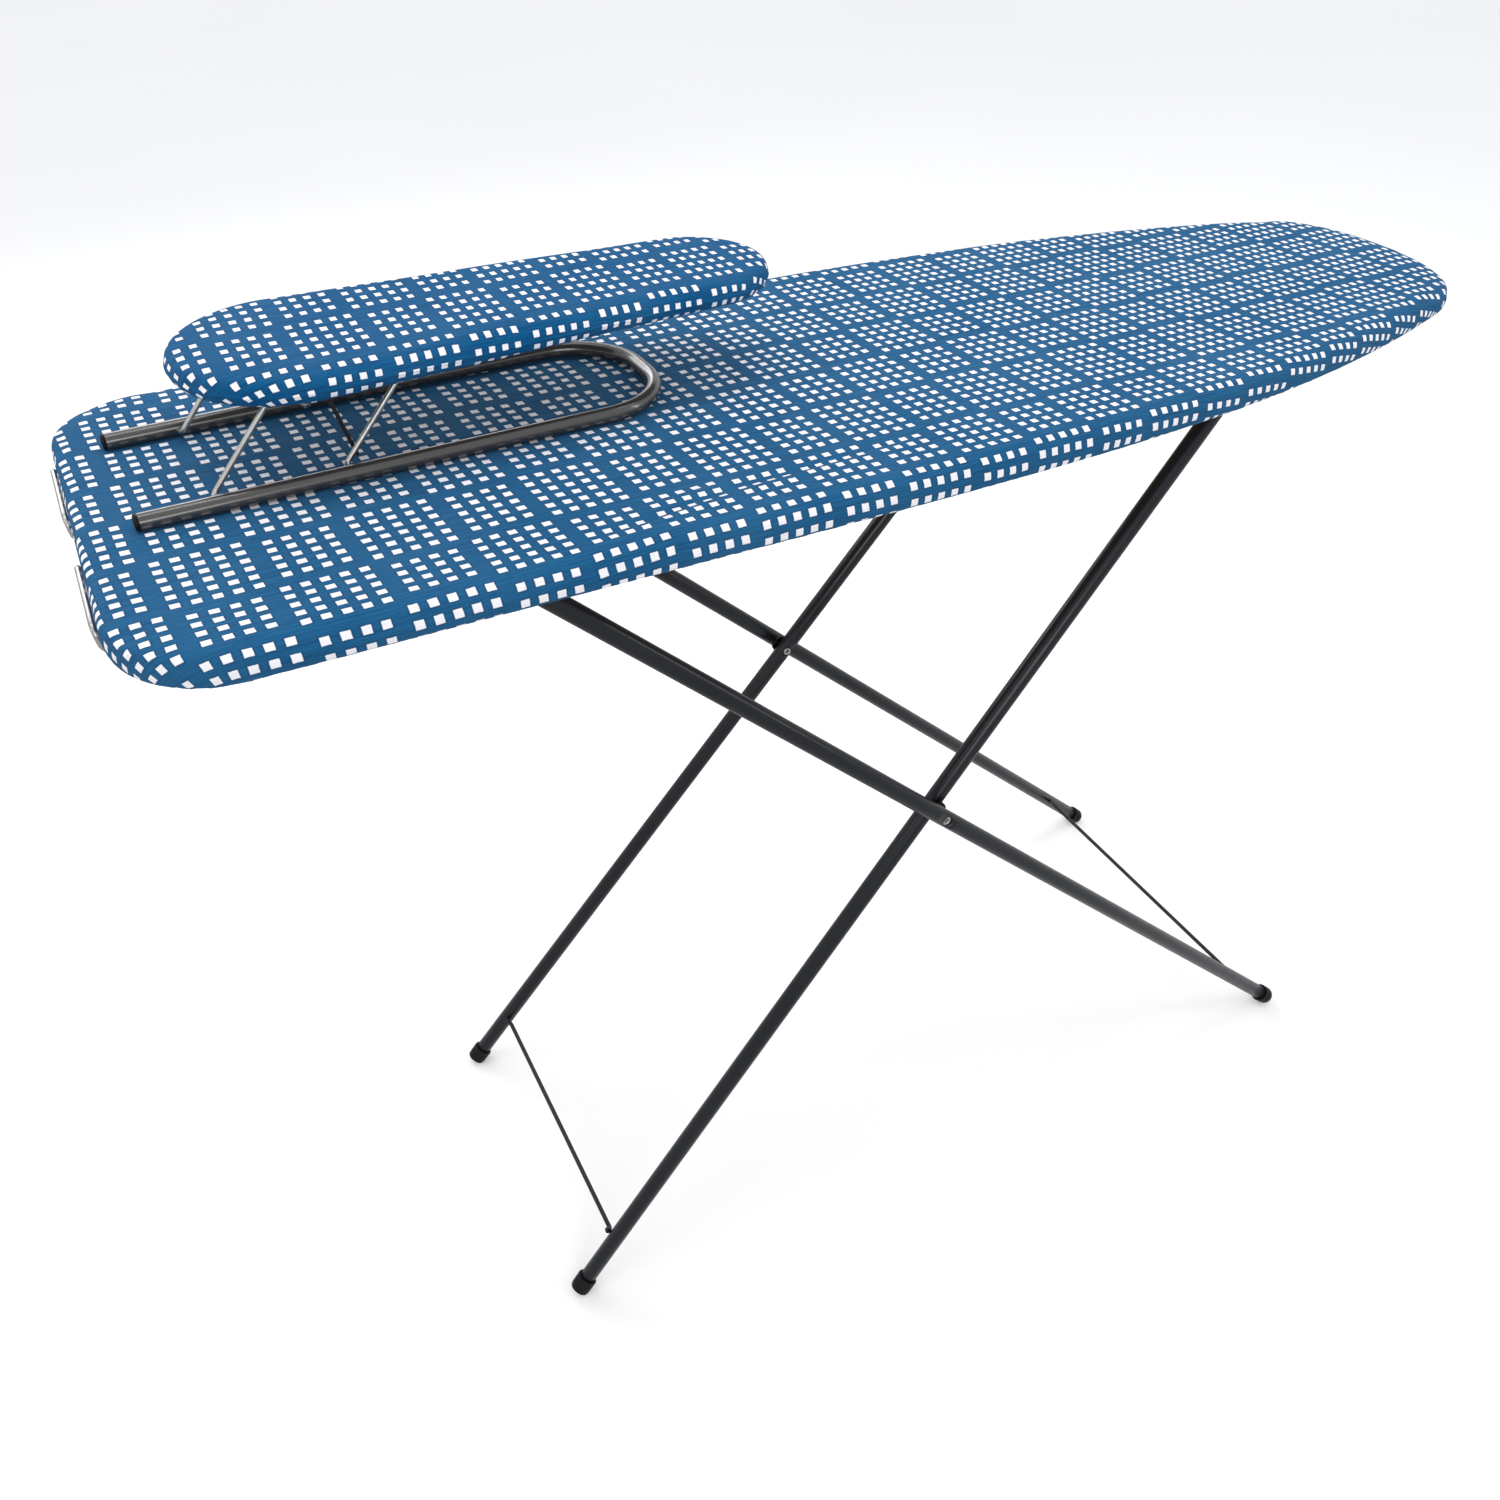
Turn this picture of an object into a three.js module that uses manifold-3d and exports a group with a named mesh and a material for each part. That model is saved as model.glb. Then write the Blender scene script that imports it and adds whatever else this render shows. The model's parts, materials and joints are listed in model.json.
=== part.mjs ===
// Ironing board on folding crossed legs, with a folding sleeve board standing on its heel end.
// Millimetres, +Z up. Lengths along the board are measured from its square heel edge (x = 0) to the
// tip of its nose; the exported group moves that frame so that x = 0 is halfway along the object.
import * as THREE from 'three';
import { mergeVertices } from 'three/addons/utils/BufferGeometryUtils.js';
import Module from 'manifold-3d';

// ---------------------------------------------------------------- driving dimensions
const GAP = 0.3;                       // clearance between pieces that touch
const PAST = 1;                        // how far a cutting shape runs past what it cuts
const FAR = 2000;                      // half size of a shape that cuts everything on one side

const BOARD = { length: 1200, width: 404, top: 858, bottom: 833, edgeRound: 9, heelRadius: 72 };
const NOSE = {
  taperStart: 423, shoulderX: 1153, shoulderY: 111, slope: 0.3735, fullness: 0.4675, reach: 0.55,
};
const COVER_THICKNESS = 1;
const PAD_BOTTOM = 850.3;
const HEM_WIDTH = 45;                  // cover turned under the board

const TUBE = { radius: 8, wall: 1.2 };
const OUTER_LEGS = { footX: 1115.1, topX: 267.1, footY: 188.3, topY: 144.5, tab: 18, tabTurn: 10 };
const INNER_LEGS = { footX: 228.2, topX: 888.7, footY: 165.4, topY: 124.6, tab: 7.5, tabTurn: 80 };
const LEG_FOOT_Z = 10.7;               // centre of each tube's lower end
const PIVOT_Z = 809.7;                 // leg bars under the board
const TUBE_OVERRUN = 8;                // tube end past its bar
const BAR = { radius: 6, wall: 1.2 };
const FOOT_CAP = { radius: 10.3, bore: 8.3, sleeve: 7, sole: 9.5, lip: 1.5, rim: 1 };
const STRETCHER = { radius: 2.25, z: 57, bend: 5 };  // each tab leaves its tube's line by tabTurn degrees

const RIVET = { radius: 3.4, bore: 2.2, headRadius: 4.3, head: 1.6, edge: 0.5, hole: 4.7, sunk: 1.2 };
const SPACER = { radius: 9, bore: 3.8, thickness: 3.6 };

const HINGE = { halfSpan: 85, width: 24, wall: 2, inner: 6.4, flange: 24, screwX: 16 };
const SCREW = { headRadius: 4, head: 2.2, crown: 2.4, radius: 2, length: 12, point: 1, hole: 2.3 };

const RACK = { start: 52, end: 330, halfWidth: 18.2, wall: 2.4, tip: 816.6, root: 827, notches: 5 };
const NOTCH = { pitch: 45, width: 14, lead: 7, relief: 2, slip: 4 };
const RACK_SCREWS = [66, 155, 290];
const KEEPER = { radius: 2.5, stemX: 339, heelX: 70, z: 794, bend: 12 };

const REST = {
  radius: 2, inner: 33, outer: 118, rodZ: 828, lipZ: 845.5, lipX: -2.8, footX: -0.8, bend: 7,
};
const REST_ROD_END = 460;
const REST_LINK_X = 500;
const GUIDE = { wall: 1.5, inner: 2.4, length: 16, flange: 11 };
const GUIDE_X = [70, 296];
const GUIDE_STRAP = { x: 350, length: 14, halfWidth: 40 };

// Sleeve board: u runs along its frame from the open ends, v across it.
const SLEEVE = { x: 38.8, y: 35.5, turn: THREE.MathUtils.degToRad(1.6) };
const FRAME = { radius: 6, wall: 1.2, halfWidth: 67, apex: 393, bend: 58 };
const PLUG = { length: 10, flange: 3, edge: 1 };
const SLEEVE_TOP = { start: 47, length: 450, heelRadius: 82, noseRadius: 61, v: -1.5 };
const SLEEVE_Z = { bottom: 925, top: 942.5, padBottom: 936.6, edgeRound: 7, hem: 20 };
const LINK = { radius: 2, feet: [50, 140], run: 50, rise: 58, halfWidth: 53.7, pin: 64.6, bend: 5.5 };
const BRACE = { radius: 1.5, footU: 151, footRise: 4.2, topU: 137, topZ: 920, halfWidth: 49.2, bend: 6 };
const SADDLE = { v: 24, width: 18, wall: 1.2, flange: 10 };

const ROUND = 16;                      // segments around a leg tube
const SMALL_ROUND = 12;                // segments around a screw or a small hole
const WIRE_ROUND = 8;                  // segments around a wire
const OUTLINE_STEPS = 6;               // segments along each curve of an outline (arcs take twice)
const BEND_STEPS = 4;                  // segments around a bend

// ---------------------------------------------------------------- finishes
function finish(color, roughness, metalness) {
  return new THREE.MeshStandardMaterial({ color, roughness, metalness });
}
const FINISH = {
  cover: finish(0x1f5c9e, 0.9, 0),
  sleeveCover: finish(0x1a66b0, 0.9, 0),
  pad: finish(0xd9d6cc, 1, 0),
  wood: finish(0xb58f62, 0.8, 0),
  legPaint: finish(0x2b2d31, 0.4, 0.2),
  framePaint: finish(0x3a3c42, 0.25, 0.5),
  blackWire: finish(0x1c1c1f, 0.5, 0.4),
  zinc: finish(0xb9bcc0, 0.3, 1),
  blackPlastic: finish(0x111113, 0.6, 0),
};

// ---------------------------------------------------------------- tools
const wasm = await Module();
wasm.setup();

function toSolid(geometry) {
  const bare = geometry.clone();
  bare.deleteAttribute('normal');
  bare.deleteAttribute('uv');
  const merged = mergeVertices(bare, 1e-4);
  const mesh = new wasm.Mesh({
    numProp: 3,
    vertProperties: new Float32Array(merged.attributes.position.array),
    triVerts: new Uint32Array(merged.index.array),
  });
  return new wasm.Manifold(mesh);
}

function toGeometry(solid) {
  const mesh = solid.getMesh();
  const geometry = new THREE.BufferGeometry();
  geometry.setAttribute('position', new THREE.BufferAttribute(new Float32Array(mesh.vertProperties), 3));
  geometry.setIndex(new THREE.BufferAttribute(new Uint32Array(mesh.triVerts), 1));
  geometry.computeVertexNormals();
  return geometry;
}

function cut(geometry, ...tools) {
  return toGeometry(tools.reduce((solid, tool) => solid.subtract(toSolid(tool)), toSolid(geometry)));
}

function piece(group, name, geometry, material) {
  const mesh = new THREE.Mesh(geometry, material);
  mesh.name = name;
  group.add(mesh);
  return mesh;
}

function box(low, high) {
  const size = high.map((value, axis) => value - low[axis]);
  const geometry = new THREE.BoxGeometry(...size);
  return geometry.translate(...high.map((value, axis) => (value + low[axis]) / 2));
}

const UP = new THREE.Vector3(0, 1, 0);

// A geometry made along +Y from the origin is laid from `start` towards `end`.
function laid(geometry, start, end) {
  const turn = new THREE.Quaternion().setFromUnitVectors(UP, end.clone().sub(start).normalize());
  return geometry.applyQuaternion(turn).translate(start.x, start.y, start.z);
}

function rod(radius, start, end, segments = WIRE_ROUND) {
  const length = start.distanceTo(end);
  const geometry = new THREE.CylinderGeometry(radius, radius, length, segments);
  return laid(geometry.translate(0, length / 2, 0), start, end);
}

function lathe(profile, segments) {
  return new THREE.LatheGeometry(profile.map(([r, y]) => new THREE.Vector2(r, y)), segments);
}

function tube(size, start, end, segments = ROUND) {
  const length = start.distanceTo(end);
  const bore = size.radius - size.wall;
  const ring = [[bore, 0], [size.radius, 0], [size.radius, length], [bore, length], [bore, 0]];
  return laid(lathe(ring, segments), start, end);
}

// A path of straight runs joined by round bends, with its own stations for an extrusion to follow.
class BentPath extends THREE.Curve {
  constructor(corners, bend) {
    super();
    this.stations = [];
    corners.forEach((corner, index) => {
      if (index === 0 || index === corners.length - 1) {
        const next = index === 0 ? corners[1] : corner;
        const before = index === 0 ? corner : corners[index - 1];
        this.stations.push({ point: corner, tangent: next.clone().sub(before).normalize() });
        return;
      }
      this.addBend(corners[index - 1], corner, corners[index + 1], bend);
    });
  }

  addBend(before, corner, after, bend) {
    const arrive = corner.clone().sub(before).normalize();
    const leave = after.clone().sub(corner).normalize();
    const angle = arrive.angleTo(leave);
    const reach = bend * Math.tan(angle / 2);
    const start = corner.clone().addScaledVector(arrive, -reach);
    const side = leave.clone().addScaledVector(arrive, -leave.dot(arrive)).normalize();
    for (let step = 0; step <= BEND_STEPS; step += 1) {
      const turned = (angle * step) / BEND_STEPS;
      this.stations.push({
        point: start.clone()
          .addScaledVector(arrive, bend * Math.sin(turned))
          .addScaledVector(side, bend * (1 - Math.cos(turned))),
        tangent: arrive.clone().multiplyScalar(Math.cos(turned)).addScaledVector(side, Math.sin(turned)),
      });
    }
  }

  getSpacedPoints() {
    return this.stations.map((station) => station.point);
  }

  getTangentAt(u) {
    return this.stations[Math.round(u * (this.stations.length - 1))].tangent.clone();
  }
}

function along(section, corners, bend, segments) {
  const path = new BentPath(corners, bend);
  return new THREE.ExtrudeGeometry(section, {
    steps: path.stations.length - 1, extrudePath: path, curveSegments: segments,
  });
}

function disc(radius, bore = 0) {
  const shape = new THREE.Shape().absarc(0, 0, radius, 0, 2 * Math.PI);
  if (bore > 0) shape.holes.push(new THREE.Path().absarc(0, 0, bore, 0, 2 * Math.PI, true));
  return shape;
}

function wire(radius, corners, bend) {
  const points = corners.map((corner) => new THREE.Vector3(...corner));
  return along(disc(radius), points, bend, WIRE_ROUND / 2);
}

// An outline made into a slab with rounded edges, `inset` inside the outline.
function slab(shape, bottom, top, inset, round) {
  const geometry = new THREE.ExtrudeGeometry(shape, {
    depth: top - bottom - 2 * round,
    bevelThickness: round,
    bevelSize: round,
    bevelOffset: -inset - round,
    bevelSegments: 2,
    curveSegments: OUTLINE_STEPS,
  });
  return geometry.translate(0, 0, bottom + round);
}

// A profile drawn in X and Z, extruded along Y and centred on y.
function acrossY(profile, y, width, curveSegments = 6) {
  const geometry = new THREE.ExtrudeGeometry(profile, { depth: width, bevelEnabled: false, curveSegments });
  return geometry.rotateX(Math.PI / 2).translate(0, y + width / 2, 0);
}

// A strap that wraps under a wire: two flanges and a round-bottomed loop, in X and Z.
function loopProfile(x, wireZ, flangeZ, inner, wall, flange) {
  const outer = inner + wall;
  const shape = new THREE.Shape();
  shape.moveTo(x - flange, flangeZ);
  shape.lineTo(x - flange, flangeZ - wall);
  shape.lineTo(x - outer, flangeZ - wall);
  shape.lineTo(x - outer, wireZ);
  shape.absarc(x, wireZ, outer, Math.PI, 2 * Math.PI, false);
  shape.lineTo(x + outer, flangeZ - wall);
  shape.lineTo(x + flange, flangeZ - wall);
  shape.lineTo(x + flange, flangeZ);
  shape.lineTo(x + inner, flangeZ);
  shape.lineTo(x + inner, wireZ);
  shape.absarc(x, wireZ, inner, 2 * Math.PI, Math.PI, true);
  shape.lineTo(x - inner, flangeZ);
  return shape;
}

// Core, pad and cover that share one outline: the filling is split by a level plane.
function padded(shape, z, hemScale) {
  const { bottom, top, padBottom, edgeRound } = z;
  const inset = COVER_THICKNESS + GAP;
  const filling = slab(shape, bottom + inset, top - inset, inset, edgeRound - inset);
  const above = box([-FAR, -FAR, padBottom - GAP], [FAR, FAR, top + PAST]);
  const below = box([-FAR, -FAR, bottom - PAST], [FAR, FAR, padBottom]);
  const outside = slab(shape, bottom, top, 0, edgeRound);
  const inside = slab(
    shape, bottom + COVER_THICKNESS, top - COVER_THICKNESS, COVER_THICKNESS, edgeRound - COVER_THICKNESS,
  );
  const opening = new THREE.ExtrudeGeometry(shape, {
    depth: COVER_THICKNESS + 2 * PAST, bevelEnabled: false, curveSegments: OUTLINE_STEPS,
  });
  opening.translate(-hemScale.x, -hemScale.y, bottom - PAST);
  opening.scale(hemScale.sx, hemScale.sy, 1).translate(hemScale.x, hemScale.y, 0);
  return {
    core: cut(filling, above),
    pad: cut(filling, below),
    cover: cut(outside, inside, opening),
  };
}

// ---------------------------------------------------------------- the main board
function boardShape() {
  const half = BOARD.width / 2;
  const { taperStart, shoulderX, shoulderY, slope, fullness, reach } = NOSE;
  const third = (shoulderX - taperStart) / 3;
  const turnIn = reach * (BOARD.length - shoulderX);
  const tip = fullness * shoulderY;
  const shape = new THREE.Shape();
  shape.moveTo(BOARD.heelRadius, -half);
  shape.lineTo(taperStart, -half);
  shape.bezierCurveTo(
    taperStart + third, -half, shoulderX - third, -shoulderY - third * slope, shoulderX, -shoulderY,
  );
  shape.bezierCurveTo(
    shoulderX + turnIn, -shoulderY + turnIn * slope, BOARD.length, -tip, BOARD.length, 0,
  );
  shape.bezierCurveTo(
    BOARD.length, tip, shoulderX + turnIn, shoulderY - turnIn * slope, shoulderX, shoulderY,
  );
  shape.bezierCurveTo(
    shoulderX - third, shoulderY + third * slope, taperStart + third, half, taperStart, half,
  );
  shape.lineTo(BOARD.heelRadius, half);
  shape.absarc(BOARD.heelRadius, half - BOARD.heelRadius, BOARD.heelRadius, Math.PI / 2, Math.PI);
  shape.lineTo(0, BOARD.heelRadius - half);
  shape.absarc(BOARD.heelRadius, BOARD.heelRadius - half, BOARD.heelRadius, Math.PI, 1.5 * Math.PI);
  return shape;
}

const CORE_BOTTOM = BOARD.bottom + COVER_THICKNESS + GAP;
const FIXING_Z = CORE_BOTTOM - GAP;    // top of everything fixed under the core

function screwSpots() {
  const spots = [];
  for (const side of [-1, 1]) {
    for (const end of [-1, 1]) {
      spots.push({ x: INNER_LEGS.topX + end * HINGE.screwX, y: side * HINGE.halfSpan, wall: HINGE.wall });
    }
  }
  RACK_SCREWS.forEach((x) => spots.push({ x, y: 0, wall: RACK.wall }));
  return spots;
}

function screwHole({ x, y }) {
  const low = new THREE.Vector3(x, y, FIXING_Z - RACK.wall - PAST);
  const high = new THREE.Vector3(x, y, FIXING_Z + SCREW.length);
  return rod(SCREW.hole, low, high, SMALL_ROUND);
}

function screw({ x, y, wall }) {
  const seat = FIXING_Z - wall - GAP;
  const profile = [
    [0, 0], [SCREW.crown, 0], [SCREW.headRadius, SCREW.head / 2], [SCREW.headRadius, SCREW.head],
    [SCREW.radius, SCREW.head], [SCREW.radius, SCREW.length - SCREW.point], [0, SCREW.length],
  ];
  return lathe(profile, SMALL_ROUND).rotateX(Math.PI / 2).translate(x, y, seat - SCREW.head);
}

function heightRack() {
  const shape = new THREE.Shape();
  shape.moveTo(RACK.start, FIXING_Z);
  shape.lineTo(RACK.start, RACK.tip + NOTCH.lead);
  shape.lineTo(RACK.start + NOTCH.lead, RACK.tip);
  for (let index = RACK.notches - 1; index >= 0; index -= 1) {
    const centre = OUTER_LEGS.topX - index * NOTCH.pitch;
    shape.lineTo(centre - NOTCH.width / 2, RACK.tip);
    shape.lineTo(centre - NOTCH.width / 2, RACK.root - NOTCH.relief);
    shape.lineTo(centre - NOTCH.width / 2 + NOTCH.relief, RACK.root);
    shape.lineTo(centre + NOTCH.width / 2 - NOTCH.relief, RACK.root);
    shape.lineTo(centre + NOTCH.width / 2, RACK.tip + NOTCH.relief);
    shape.lineTo(centre + NOTCH.width / 2 + NOTCH.slip, RACK.tip);
  }
  shape.lineTo(RACK.end - NOTCH.lead, RACK.tip);
  shape.lineTo(RACK.end, RACK.tip + NOTCH.lead);
  shape.lineTo(RACK.end, FIXING_Z);
  const inner = RACK.halfWidth - RACK.wall;
  const channel = box(
    [RACK.start - PAST, -inner, RACK.tip - PAST], [RACK.end + PAST, inner, FIXING_Z - RACK.wall],
  );
  const holes = RACK_SCREWS.map((x) => screwHole({ x, y: 0 }));
  return cut(acrossY(shape, 0, 2 * RACK.halfWidth), channel, ...holes);
}

function addBoard(group) {
  const centreX = BOARD.length / 2;
  const layers = padded(
    boardShape(),
    { bottom: BOARD.bottom, top: BOARD.top, padBottom: PAD_BOTTOM, edgeRound: BOARD.edgeRound },
    { x: centreX, y: 0, sx: 1 - (2 * HEM_WIDTH) / BOARD.length, sy: 1 - (2 * HEM_WIDTH) / BOARD.width },
  );
  const spots = screwSpots();
  piece(group, 'board_core', cut(layers.core, ...spots.map(screwHole)), FINISH.wood);
  piece(group, 'board_pad', layers.pad, FINISH.pad);
  piece(group, 'board_cover', layers.cover, FINISH.cover);

  for (const [side, name] of [[-1, 'near'], [1, 'far']]) {
    const profile = loopProfile(
      INNER_LEGS.topX, PIVOT_Z, FIXING_Z, HINGE.inner, HINGE.wall, HINGE.flange,
    );
    const strap = acrossY(profile, side * HINGE.halfSpan, HINGE.width, SMALL_ROUND);
    const holes = spots.filter((spot) => spot.y === side * HINGE.halfSpan).map(screwHole);
    piece(group, `leg_hinge_bracket_${name}`, cut(strap, ...holes), FINISH.zinc);
  }
  piece(group, 'height_rack', heightRack(), FINISH.zinc);
  spots.forEach((spot, index) => {
    const role = spot.y === 0 ? 'rack_screw' : 'hinge_screw';
    piece(group, `${role}_${index + 1}`, screw(spot), FINISH.zinc);
  });

  const keeper = wire(KEEPER.radius, [
    [KEEPER.stemX, 0, FIXING_Z], [KEEPER.stemX, 0, KEEPER.z], [KEEPER.heelX, 0, KEEPER.z],
  ], KEEPER.bend);
  piece(group, 'height_bar_keeper', keeper, FINISH.zinc);

  addRestGuides(group);
}

// Straps that hold the two outer rods of the iron rest, and one that holds both inner rods.
function addRestGuides(group) {
  for (const [side, name] of [[-1, 'near'], [1, 'far']]) {
    GUIDE_X.forEach((x, index) => {
      const profile = loopProfile(0, REST.rodZ, FIXING_Z, GUIDE.inner, GUIDE.wall, GUIDE.flange);
      const strap = acrossY(profile, 0, GUIDE.length).rotateZ(Math.PI / 2);
      strap.translate(x, side * REST.outer, 0);
      piece(group, `rest_guide_${name}_${index + 1}`, strap, FINISH.zinc);
    });
  }
  const low = REST.rodZ - GUIDE.inner - GUIDE.wall;
  const inner = GUIDE_STRAP.halfWidth - GUIDE.wall;
  const plate = box(
    [GUIDE_STRAP.x, -GUIDE_STRAP.halfWidth, low],
    [GUIDE_STRAP.x + GUIDE_STRAP.length, GUIDE_STRAP.halfWidth, FIXING_Z],
  );
  const space = box(
    [GUIDE_STRAP.x - PAST, -inner, low + GUIDE.wall],
    [GUIDE_STRAP.x + GUIDE_STRAP.length + PAST, inner, FIXING_Z + PAST],
  );
  piece(group, 'rest_guide_middle', cut(plate, space), FINISH.zinc);
}

// ---------------------------------------------------------------- the pull-out iron rest
function addIronRest(group) {
  const half = (side) => [
    [REST_ROD_END, side * REST.outer, REST.rodZ],
    [REST.footX, side * REST.outer, REST.rodZ],
    [REST.lipX, side * REST.outer, REST.lipZ],
    [REST.lipX, side * REST.inner, REST.lipZ],
    [REST.footX, side * REST.inner, REST.rodZ],
    [REST_LINK_X, side * REST.inner, REST.rodZ],
  ];
  const corners = [...half(-1), ...half(1).reverse()];
  piece(group, 'iron_rest_wire', wire(REST.radius, corners, REST.bend), FINISH.zinc);
}

// ---------------------------------------------------------------- legs
// Share of the way up both pairs at which they cross.
const CROSSING = (OUTER_LEGS.footX - INNER_LEGS.footX)
  / (OUTER_LEGS.footX - INNER_LEGS.footX + INNER_LEGS.topX - OUTER_LEGS.topX);
const PIVOT_X = THREE.MathUtils.lerp(INNER_LEGS.footX, INNER_LEGS.topX, CROSSING);
const CROSSING_Z = THREE.MathUtils.lerp(LEG_FOOT_Z, PIVOT_Z, CROSSING);

function legLine(pair, side) {
  const foot = new THREE.Vector3(pair.footX, side * pair.footY, LEG_FOOT_Z);
  const top = new THREE.Vector3(pair.topX, side * pair.topY, PIVOT_Z);
  const direction = top.clone().sub(foot).normalize();
  return { foot, top, direction };
}

function crossingY(pair) {
  return THREE.MathUtils.lerp(pair.footY, pair.topY, CROSSING);
}

function footCap({ foot, direction }) {
  const { radius, bore, sleeve, sole, lip, rim } = FOOT_CAP;
  const profile = [
    [0, -sole], [radius - lip, -sole], [radius, lip - sole], [radius, sleeve - rim], [radius - rim, sleeve],
    [bore, sleeve], [bore, -GAP], [0, -GAP],
  ];
  const cap = laid(lathe(profile, ROUND), foot, foot.clone().add(direction));
  const floor = box([-FAR, -FAR, -FAR], [FAR, FAR, 0]);
  return cut(cap, floor);
}

// A wire between the two tubes of a pair, its ends bent to lie on their inner sides.
function stretcher(pair) {
  const share = (STRETCHER.z - LEG_FOOT_Z) / (PIVOT_Z - LEG_FOOT_Z);
  const reach = TUBE.radius + STRETCHER.radius + GAP;
  const turn = THREE.MathUtils.degToRad(pair.tabTurn);
  const ends = [-1, 1].map((side) => {
    const { foot, top, direction } = legLine(pair, side);
    const inward = new THREE.Vector3(0, -side, 0);
    inward.addScaledVector(direction, -inward.dot(direction)).normalize();
    const corner = foot.clone().lerp(top, share).addScaledVector(inward, reach);
    const across = new THREE.Vector3().crossVectors(direction, inward);
    if (across.z < 0) across.negate();
    const tab = direction.clone().multiplyScalar(Math.cos(turn)).addScaledVector(across, Math.sin(turn));
    return { corner, tip: corner.clone().addScaledVector(tab, pair.tab) };
  });
  const corners = [ends[0].tip, ends[0].corner, ends[1].corner, ends[1].tip];
  return along(disc(STRETCHER.radius), corners, STRETCHER.bend, WIRE_ROUND / 2);
}

function addLegPair(group, pair, label, bar) {
  const hole = rod(
    RIVET.hole,
    new THREE.Vector3(PIVOT_X, -BOARD.width, CROSSING_Z),
    new THREE.Vector3(PIVOT_X, BOARD.width, CROSSING_Z),
    SMALL_ROUND,
  );
  for (const [side, name] of [[-1, 'near'], [1, 'far']]) {
    const line = legLine(pair, side);
    const end = line.top.clone().addScaledVector(line.direction, TUBE_OVERRUN);
    piece(group, `${label}_leg_${name}`, cut(tube(TUBE, line.foot, end), hole), FINISH.legPaint);
    piece(group, `${label}_foot_cap_${name}`, footCap(line), FINISH.blackPlastic);
  }
  const barEnd = pair.topY - TUBE.radius - 2 * GAP;
  const start = new THREE.Vector3(pair.topX, -barEnd, PIVOT_Z);
  const finishPoint = new THREE.Vector3(pair.topX, barEnd, PIVOT_Z);
  piece(group, bar, tube(BAR, start, finishPoint), FINISH.legPaint);
  piece(group, `${label}_stretcher_wire`, stretcher(pair), FINISH.blackWire);
}

// Hollow rivets sunk in both tubes at the crossing, with a plastic spacer between the tubes.
function addCrossing(group) {
  const outerEnd = crossingY(OUTER_LEGS) + TUBE.radius - RIVET.sunk;
  const innerEnd = crossingY(INNER_LEGS) - TUBE.radius + RIVET.sunk;
  const spacerMiddle = (crossingY(OUTER_LEGS) + crossingY(INNER_LEGS)) / 2;
  const { radius, bore, headRadius, head, edge } = RIVET;
  const length = outerEnd - innerEnd;
  const shank = [
    [bore, 0], [headRadius - edge, 0], [headRadius, edge], [headRadius, head], [radius, head],
    [radius, length - head], [headRadius, length - head], [headRadius, length - edge],
    [headRadius - edge, length], [bore, length], [bore, 0],
  ];
  const half = SPACER.thickness / 2;
  const washer = [[SPACER.bore, -half], [SPACER.radius, -half], [SPACER.radius, half], [SPACER.bore, half]];
  washer.push(washer[0]);
  for (const [side, name] of [[-1, 'near'], [1, 'far']]) {
    const start = new THREE.Vector3(PIVOT_X, side * innerEnd, CROSSING_Z);
    const end = new THREE.Vector3(PIVOT_X, side * outerEnd, CROSSING_Z);
    piece(group, `crossing_rivet_${name}`, laid(lathe(shank, ROUND), start, end), FINISH.zinc);
    const middle = new THREE.Vector3(PIVOT_X, side * spacerMiddle, CROSSING_Z);
    const spacer = laid(lathe(washer, ROUND), middle, end);
    piece(group, `crossing_spacer_${name}`, spacer, FINISH.blackPlastic);
  }
}

// ---------------------------------------------------------------- the sleeve board
const FRAME_Z = BOARD.top + GAP + FRAME.radius;

function sleeveShape() {
  const { start, length, heelRadius, noseRadius, v } = SLEEVE_TOP;
  const heelU = start + heelRadius;
  const noseU = start + length - noseRadius;
  const lean = Math.acos((heelRadius - noseRadius) / (noseU - heelU));
  const shape = new THREE.Shape();
  shape.absarc(noseU, v, noseRadius, -lean, lean, false);
  shape.absarc(heelU, v, heelRadius, lean, 2 * Math.PI - lean, false);
  return shape;
}

function addSleeveFrame(group) {
  const corners = [
    [0, -FRAME.halfWidth], [FRAME.apex, -FRAME.halfWidth],
    [FRAME.apex, FRAME.halfWidth], [0, FRAME.halfWidth],
  ].map(([u, v]) => new THREE.Vector3(u, v, FRAME_Z));
  const bent = along(disc(FRAME.radius, FRAME.radius - FRAME.wall), corners, FRAME.bend, ROUND / 2 - 1);
  const holes = LINK.feet.flatMap((u) => [-1, 1].map((side) => rod(
    LINK.radius + GAP,
    new THREE.Vector3(u, side * (FRAME.halfWidth - FRAME.radius - PAST), FRAME_Z),
    new THREE.Vector3(u, side * FRAME.halfWidth, FRAME_Z),
    SMALL_ROUND,
  )));
  piece(group, 'sleeve_frame_tube', cut(bent, ...holes), FINISH.framePaint);

  const bore = FRAME.radius - FRAME.wall - GAP;
  const plug = [
    [0, 0], [FRAME.radius - PLUG.edge, 0], [FRAME.radius, PLUG.edge], [FRAME.radius, PLUG.flange],
    [bore, PLUG.flange], [bore, PLUG.length], [0, PLUG.length],
  ];
  for (const [side, name] of [[-1, 'near'], [1, 'far']]) {
    const start = new THREE.Vector3(-PLUG.flange - GAP, side * FRAME.halfWidth, FRAME_Z);
    const shape = laid(lathe(plug, ROUND), start, start.clone().setX(0));
    piece(group, `sleeve_frame_plug_${name}`, shape, FINISH.blackPlastic);
  }
}

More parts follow.
